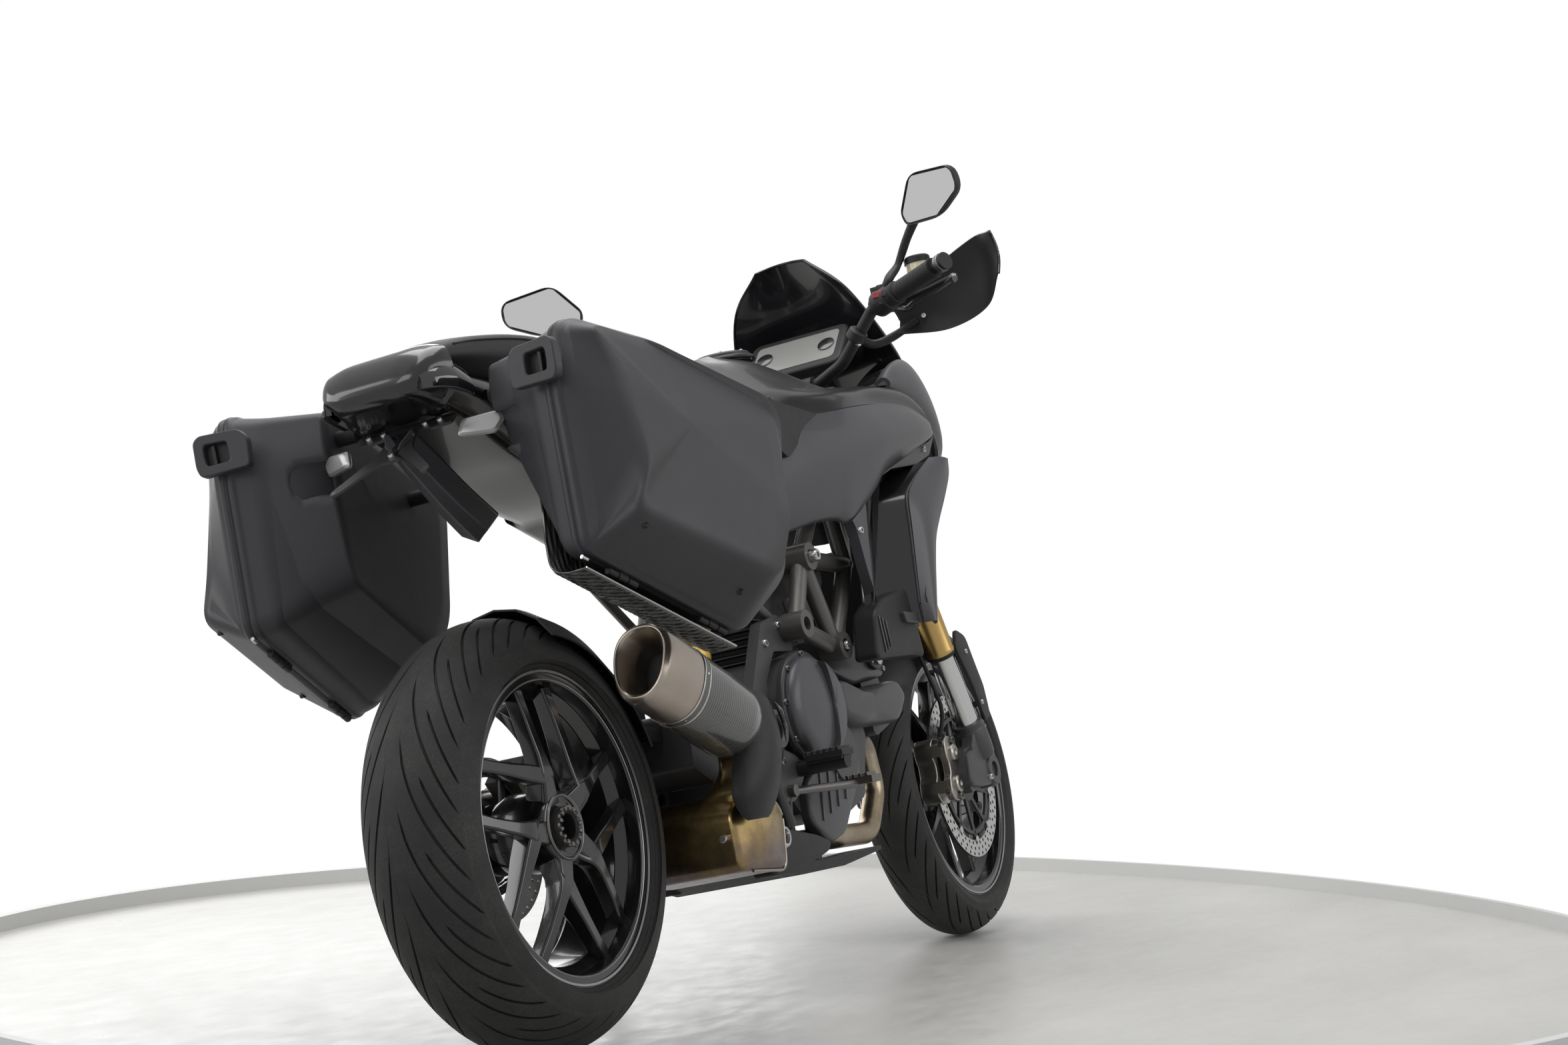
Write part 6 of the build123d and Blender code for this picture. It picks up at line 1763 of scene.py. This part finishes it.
def buildFeet():
    # toothed pads, hangers, heel guards, brake cylinder and lugs
    pads = [toothedBar(628, 672, -168, -236, 376, 16, 6), toothedBar(752, 786, -174, -222, 328, 11, 4)]
    piece("footPads", bothSides(pads[0]), "blackPlastic", bevel=1)
    piece("brakePad", pads[1], "darkSteel", bevel=0.8)
    hanger = shapedPlate([(560, 350), (600, 392), (664, 372), (668, 340), (620, 300), (572, 300)], 128.4,
                         144, 5, 14)
    piece("pegHangers", bothSides(hanger), "castGrey", bevel=1)
    heel = shapedPlate([(528, 440), (600, 398), (586, 372), (540, 372), (500, 410)], 146, 152, 2, 12)
    piece("heelGuards", bothSides(heel), "blackPlastic", bevel=1)
    pins = [bolt((x, -145, z), (0, -1, 0), 7) for x, z in ((590, 368), (648, 356), (600, 318))]
    piece("pegBolts", bothSides(bundle(*pins)), "steel")
    master = bundle(rodBetween((560, -138, 338), (590, -138, 262), 11, 20, 2),
                    rodBetween((592, -138, 258), (600, -142, 316), 4, 12, 1))
    piece("rearMaster", master, "anodisedBlack", bevel=0.5)
    # silver inserts in the trellis lugs
    lugs = [bolt((789, -178, 706), (0, -1, 0), 11), bolt((861, -172, 550), (0, -1, 0), 8)]
    piece("lugBolts", bothSides(bundle(*lugs)), "steel")
    box = shapedPlate([(800, 730), (950, 750), (1000, 690), (930, 600), (830, 600)], 60, 96, 16, 30)
    piece("airboxSides", bothSides(box), "satinGrey", bevel=1)
    print("engine: pegs, pedals and lugs")


buildMotor()
buildFeet()


bars = {
    "shoulder": (1092.0, 240.0, 1148.0), "end": (1006.0, 410.0, 1173.0),
    "shield": (((1142, 262, 1098), (1142, 262, 1146)), ((1168, 350, 1088), (1168, 350, 1204)),
               ((1166, 430, 1108), (1166, 430, 1236)), ((1120, 478, 1152), (1120, 478, 1230))),
    "mirror": ((1027, 473, 1346), (1089, 387, 1365), (1084, 331, 1299), (1079, 335, 1273),
               (1030, 400, 1262), (1008, 465, 1296)),
    "mirrorOut": (-0.88, -0.41, -0.15),
}


def barAt(share):
    # start + (end - start) share
    start, end = np.array(bars["shoulder"]), np.array(bars["end"])
    return start + (end - start) * share


def buildBars():
    # grips, ends, switches, levers and fluid pot, all set along the grip's line
    start, end = barAt(0.36), barAt(0.94)
    length = float(np.linalg.norm(end - start))
    s = np.linspace(0, length, 90)
    # ribbed sleeve: 1 mm more where s mod 9.5 < 5.5, with a fatter collar at its inner end
    ribs = 17.4 + 1.0 * (np.mod(s, 9.5) < 5.5) + 3.2 * (s < 7) + 1.2 * (s > length - 5)
    profile = [(0, 0)] + list(zip(ribs, s)) + [(0, length)]
    grip = aimed(lathed(profile, axis="z", sides=40), start, end - start)
    piece("gripSleeves", bothSides(grip), "softRubber", "fork", sharp=50,
          replaces=("grips",))
    tip = aimed(lathed([(0, 0), (15, 0), (17, 3), (17, 11), (14, 15), (8, 15.5), (7, 10), (0, 10)],
                       axis="z", sides=36), barAt(1.0), end - start)
    piece("barEnds", bothSides(tip), "darkSteel", "fork")
    housing = rodBetween(barAt(0.07), barAt(0.3), 24, 28, 5)
    collar = rodBetween(barAt(0.31), barAt(0.35), 21, 28, 2)
    clamp = rodBetween(barAt(0.0) + (14, -2, 4), barAt(0.07) + (14, -2, 4), 17, 24, 3)
    block = boxAt(barAt(0.18) + (6, 0, 18), (34, 38, 20))
    piece("switchHousings", bothSides(bundle(housing, collar, clamp, block)), "blackPlastic", "fork",
          bevel=3, segments=3)
    red = flipped(boxAt(barAt(0.17) + (-22, 0, 10), (12, 20, 13)))
    piece("stopSwitch", red, "redSwitch", "fork", bevel=2.5, segments=3)
    buttons = [boxAt(barAt(k) + (-23, 0, z), (6, 10, 6)) for k, z in ((0.12, -2), (0.2, -8), (0.26, 2))]
    piece("switchButtons", bothSides(bundle(*buttons)), "softRubber", "fork", bevel=1.5)
    # lever: flattened bar curving to a ball end ahead of the grip
    root, ball = barAt(0.2) + (44, -6, -8), barAt(0.97) + (60, 6, -16)
    way = [root, root + (14, 22, -6), barAt(0.45) + (66, 0, -14), barAt(0.75) + (66, 0, -18), ball]
    lever = tube(way, [8, 9, 7, 6.5, 7.5], 16, smooth=8, squash=0.62)
    knob = aimed(lathed([(0, -9), (6, -7), (9, 0), (6, 7), (0, 9)], axis="z", sides=20), ball, (0, 1, 0))
    piece("leverBlades", bothSides(bundle(lever, knob)), "darkSteel", "fork")
    pot = barAt(0.5) + (74, 6, 24)
    jar = lathed([(0, 0), (19, 0), (22, 4), (22, 27), (0, 27)], pot, "z", 40)
    lid = lathed([(0, 27), (24, 27), (24, 37), (21, 40), (0, 40)], pot, "z", 40)
    piece("fluidPot", flipped(jar), "fluid", "fork")
    piece("fluidPotLid", flipped(lid), "blackPlastic", "fork")
    print("bars: grips, switches, levers")


def buildGuards():
    # curved shield ahead of each grip, its edge, arm and bolts
    ends = np.array(bars["shield"], float)
    path = spline(ends.reshape(len(ends), -1), 10).reshape(-1, 2, 3)
    v = np.linspace(0, 1, 15)[None, :, None]
    # p = (1 - v) a + v b, bowed by sin(pi v): 10 forward and 4 outward
    grid = (1 - v) * path[:, :1] + v * path[:, 1:]
    grid = grid + np.sin(math.pi * v) * np.array([10.0, 4.0, 0])
    piece("guardShields", bothSides(shellOf(grid, 4)), "blackPlastic", "fork", sharp=50,
          replaces=("hand_guards",))
    rim = np.vstack([grid[0], grid[1:, -1], grid[-1, ::-1][1:]])
    piece("guardEdges", bothSides(tube(rim, 2.8, 10)), "blackGloss", "fork")
    marker = [grid[-14 + k, -2] + (1, 2, 0) for k in range(0, 12, 2)]
    piece("guardFlashes", bothSides(tube(marker, 2.2, 8)), "silverTrimAndHighlight", "fork")
    arm = tube([(1108, 192, 1108), (1130, 214, 1092), (1148, 250, 1100), (1150, 300, 1118)], [8, 8, 8, 6],
               14, smooth=6)
    clamp = rodBetween((1102, 188, 1104), (1098, 204, 1118), 18, 24, 3)
    piece("guardArms", bothSides(bundle(arm, clamp)), "blackPlastic", "fork")
    bolts = [bolt((1098, 196, 1093), (0.2, 0.2, -1), 5), bolt((1152, 312, 1122), (-1, 0.2, 0), 5)]
    piece("guardBolts", bothSides(bundle(*bolts)), "steel", "fork")
    print("bars: hand guards")


def buildMirrors():
    # domed shell behind each glass and its stalk
    corners = np.array(bars["mirror"], float)
    out = np.array(bars["mirrorOut"])
    out /= np.linalg.norm(out)
    middle = corners.mean(0)
    corners = corners - ((corners - middle) @ out)[:, None] * out
    rim = rounded(corners, 22, 6, 4)
    # rings from the glass edge round to the domed back: scale k, depth d behind the face
    steps = ((0.93, 2.5), (0.95, -0.5), (0.985, -1.5), (1.0, 1), (1.0, 9), (0.93, 19), (0.76, 27), (0.45, 32))
    rings = [middle + (rim - middle) * k - out * d for k, d in steps]
    piece("mirrorShells", bothSides(lofted(softRings(np.array(rings), 3, 3))), "blackPlastic", "fork",
          sharp=50, replaces=("mirrors",))
    stalk = tube([barAt(0.2) + (0, 0, 6), barAt(0.2) + (-2, 14, 34), (1099, 302, 1214), (1098, 330, 1256),
                  (1096, 362, 1296)], [12, 11, 9, 10, 12], 16, smooth=8, squash=0.75)
    nut = rodBetween(barAt(0.2) + (0, 0, 14), barAt(0.2) + (0, 2, 28), 14, 6, 1.5)
    piece("mirrorStalks", bothSides(bundle(stalk, nut)), "blackPlastic", "fork")
    print("bars: mirrors")


buildBars()
buildGuards()
buildMirrors()


forkSizes = {"legOut": 105.0, "offset": 27.1, "goldLow": 534.0, "goldHigh": 972.0, "chromeLow": 384.0,
             "gold": 28.6, "chrome": 24.3, "axle": (1530.0, 300.0), "caliper": 140.0, "caliperTurn": -84.0}


def legAt(z, out=None):
    # point of the leg's line level with z: x = 1640 - z tan(rake), moved forward square to it
    rake = math.radians(stance["rakeDegrees"])
    o = forkSizes["offset"]
    low = z - o * math.sin(rake)
    return np.array((1640 - low * math.tan(rake) + o * math.cos(rake),
                     forkSizes["legOut"] if out is None else out, z))


def buildLegs():
    # tubes, seals, sliders, caps and dials turned about the leg's line
    f = forkSizes
    low, high = legAt(f["goldLow"]), legAt(f["goldHigh"])
    length = float(np.linalg.norm(high - low))
    r = f["gold"]
    tubeShape = [(f["chrome"] + 0.6, 2), (r - 1, 0), (r + 1.2, 2), (r + 1.2, 9), (r, 12),
                 (r, length * 0.45), (r + 1, length * 0.5), (r + 1, length), (0, length), (0, 14)]
    piece("forkOuters", bothSides(aimed(lathed(tubeShape, axis="z", sides=64), low, high - low)), "gold",
          "fork", sharp=40, replaces=("fork_outer_tubes",))
    seal = [(f["chrome"] + 0.3, -7), (r - 2, -7), (r + 0.6, -4), (r + 0.6, 1.5), (f["chrome"] + 0.3, 1.5)]
    piece("forkSeals", bothSides(aimed(lathed(seal, axis="z", sides=48), low, high - low)), "softRubber",
          "fork")
    foot = legAt(f["chromeLow"])
    run = float(np.linalg.norm(low - foot)) + 30
    slider = [(0, 0), (f["chrome"], 0), (f["chrome"], run), (0, run)]
    piece("forkSliders", bothSides(aimed(lathed(slider, axis="z", sides=56), foot, low - foot)), "chrome",
          "fork", replaces=("fork_inner_tubes",))
    top = lathed([(0, 0), (r, 0), (r, 4), (r - 4, 8), (13, 8), (12, 12), (0, 12)], axis="z", sides=40)
    piece("forkCaps", bothSides(aimed(top, high, high - low)), "anodisedBlack", "fork")
    dial = lathed([(0, 10), (8, 10), (8, 17), (6, 18), (0, 18)], axis="z", sides=6)
    piece("forkDials", bothSides(aimed(dial, high, high - low)), "gold", "fork")
    print("fork: legs")


def buildCastings():
    # feet of the legs, axle ends and radial calipers
    f = forkSizes
    ax, az = f["axle"]
    sleeve = [(25, 0), (31, 2), (32, 20), (32, 60), (30, 64), (25, 64)]
    low, high = legAt(330), legAt(396)
    collar = aimed(lathed(sleeve, axis="z", sides=40), low, high - low)
    body = [(ax - 56, az + 96), (ax - 12, az + 104), (ax + 22, az + 40), (ax + 34, az + 6),
            (ax + 22, az - 26), (ax - 20, az - 28), (ax - 62, az - 30), (ax - 132, az - 24),
            (ax - 116, az + 40), (ax - 78, az + 44)]
    cast = flipped(shapedPlate(body, 96, 122, 6, 16))
    boss = lathed([(15, 126), (15, 86), (30, 86), (33, 92), (33, 120), (29, 126)], (ax, 0, az), "y", 56)
    piece("axleCastings", bothSides(bundle(collar, cast, boss)), "castGrey", "fork", bevel=1)
    pin = lathed([(0, 122), (13, 122), (14, 118), (14, 90), (0, 90)], (ax, 0, az), "y", 32)
    piece("axleEnds", bothSides(pin), "darkSteel", "fork")
    pinch = [bolt((ax - 30, 124, az - 14), (0, 1, 0), 6), bolt((ax - 8, 124, az + 84), (0, 1, 0), 5)]
    piece("pinchBolts", bothSides(bundle(*pinch)), "steel", "fork")
    # radial caliper behind the leg: bridge outline in (along the rim, out from the axle)
    turn = math.radians(f["caliperTurn"])
    along = np.array((math.cos(turn), 0, -math.sin(turn)))
    outward = np.array((math.sin(turn), 0, math.cos(turn)))
    centre = np.array((ax, 0, az)) + outward * f["caliper"]
    outer = [(-62, -22), (-44, -32), (-10, -27), (10, -27), (44, -32), (62, -22), (62, 16), (48, 30),
             (22, 28), (12, 20), (-12, 20), (-22, 28), (-48, 30), (-62, 16)]
    frameOf = (centre, along, outward, (0, 1, 0))
    halfOut = prism(rounded(outer, 7, 5, 2), 81, 96, frameOf)
    halfIn = prism(rounded(outer, 7, 5, 2), 31, 68, frameOf)
    over = prism(rounded([(-52, 8), (-26, 8), (-22, 28), (-46, 30)], 4), 60, 90, frameOf)
    over2 = prism(rounded([(52, 8), (26, 8), (22, 28), (46, 30)], 4), 60, 90, frameOf)
    piece("caliperBodies", bothSides(bundle(halfOut, halfIn, over, over2)), "nickel", "fork", bevel=3.5,
          segments=4, replaces=("front_calipers",))
    caps, heads = [], []
    for s in (-30, 30):
        here = centre + along * s + outward * -6
        caps.append(aimed(lathed([(0, 0), (17, 0), (17, 5), (14, 7.5), (6, 7.5), (5, 5), (0, 5)], axis="z",
                                 sides=40), here + (0, 95, 0), (0, 1, 0)))
    for s in (-54, 54):
        heads.append(bolt(centre + along * s + (0, 96, 0) - outward * 6, (0, 1, 0), 8))
    for s in (-46, 46):
        heads.append(bolt(centre + along * s + (0, 88, 0) + outward * 28, outward, 6))
    piece("caliperCaps", bothSides(bundle(*caps)), "nickel", "fork", bevel=0.8)
    piece("caliperBolts", bothSides(bundle(*heads)), "darkSteel", "fork")
    pads = prism(rounded([(-34, -24), (34, -24), (34, 18), (-34, 18)], 4), 66, 72, frameOf)
    piece("caliperPads", bothSides(pads), "darkSteel", "fork")
    print("fork: castings and calipers")


def buildMudguard():
    # guard over the tyre and a guard for each leg
    f = forkSizes
    ax, az = f["axle"]
    # shell over the tyre: p(s, t) turned about the axle, half width narrowing to both ends
    s = np.radians(np.linspace(-62, 42, 44))[:, None]
    t = np.radians(np.linspace(-80, 80, 27))[None, :]
    ends = 1 - 0.22 * np.abs(s / s.max()) ** 3
    radius = 240 + 74 * np.cos(t)
    side = 76 * np.sin(t) * ends
    grid = np.stack([ax + radius * np.sin(s), side + 0 * s, az + radius * np.cos(s)], -1)
    piece("mudguardShell", shellOf(grid, -3), "blackPlastic", "fork", sharp=60,
          replaces=("front_mudguard",))
    rim = np.vstack([grid[0], grid[1:, -1], grid[-1, ::-1][1:], grid[::-1, 0][1:]])
    piece("mudguardRim", tube(rim, 2.6, 8), "blackPlastic", "fork")
    stay = [(1442, 575), (1486, 562), (1533, 462), (1536, 402), (1504, 392), (1474, 466), (1424, 536)]
    guard = flipped(shapedPlate(stay, 131, 138, 3, 12))
    ties = [rodBetween((1500, 132, 430), (1496, 112, 424), 6, 14),
            rodBetween((1478, 84, 532), (1470, 136, 530), 6, 14)]
    piece("legGuards", bothSides(bundle(guard, *ties)), "blackPlastic", "fork", bevel=1)
    studs = [bolt((1500, 138, 430), (0, 1, 0), 5), bolt((1470, 138, 530), (0, 1, 0), 5)]
    piece("legGuardBolts", bothSides(bundle(*studs)), "steel", "fork")
    print("fork: mudguard and leg guards")


buildLegs()
buildCastings()
buildMudguard()


nodesOf = {
    "rubber": "rear_tyre front_tyre",
    "wheelBlack": "rear_rim front_rim",
    "steel": "rear_disc front_discs",
    "darkSteel": "rear_sprocket drive_chain foot_controls",
    "gold": "fork_outer_tubes",
    "chrome": "fork_inner_tubes",
    "castGrey": "fork_feet side_plates engine swingarm side_stand",
    "blackPlastic": "fork_yokes handlebar bar_controls hand_guards mirrors front_mudguard radiator "
                    "muffler_guard fuel_cap instrument belly_pan rear_hugger rider_pegs case_carriers",
    "softRubber": "grips brake_hoses",
    "mirror": "mirror_glass",
    "nickel": "front_calipers rear_caliper",
    "frameGrey": "trellis_frame rear_subframe",
    "springYellow": "shock_absorber",
    "heatSteel": "exhaust_box header_pipes",
    "carbon": "muffler heat_shield",
    "titanium": "muffler_end_cap",
    "satinGrey": "fuel_tank side_fairing_right side_fairing_left nose_fairing",
    "screenTint": "windscreen",
    "smoked": "headlamps tail_lamps",
    "seatCover": "rider_seat passenger_seat",
    "bandBlackAndPaintedReflection": "tail_fairing",
    "anodisedBlack": "plate_bracket",
    "caseShell": "case_body_right case_body_left case_lid_right case_lid_left",
}
for finishName, nodeNames in nodesOf.items():
    for nodeName in nodeNames.split():
        dress(nodeName, finishes[finishName])
print("nodes: dressed")
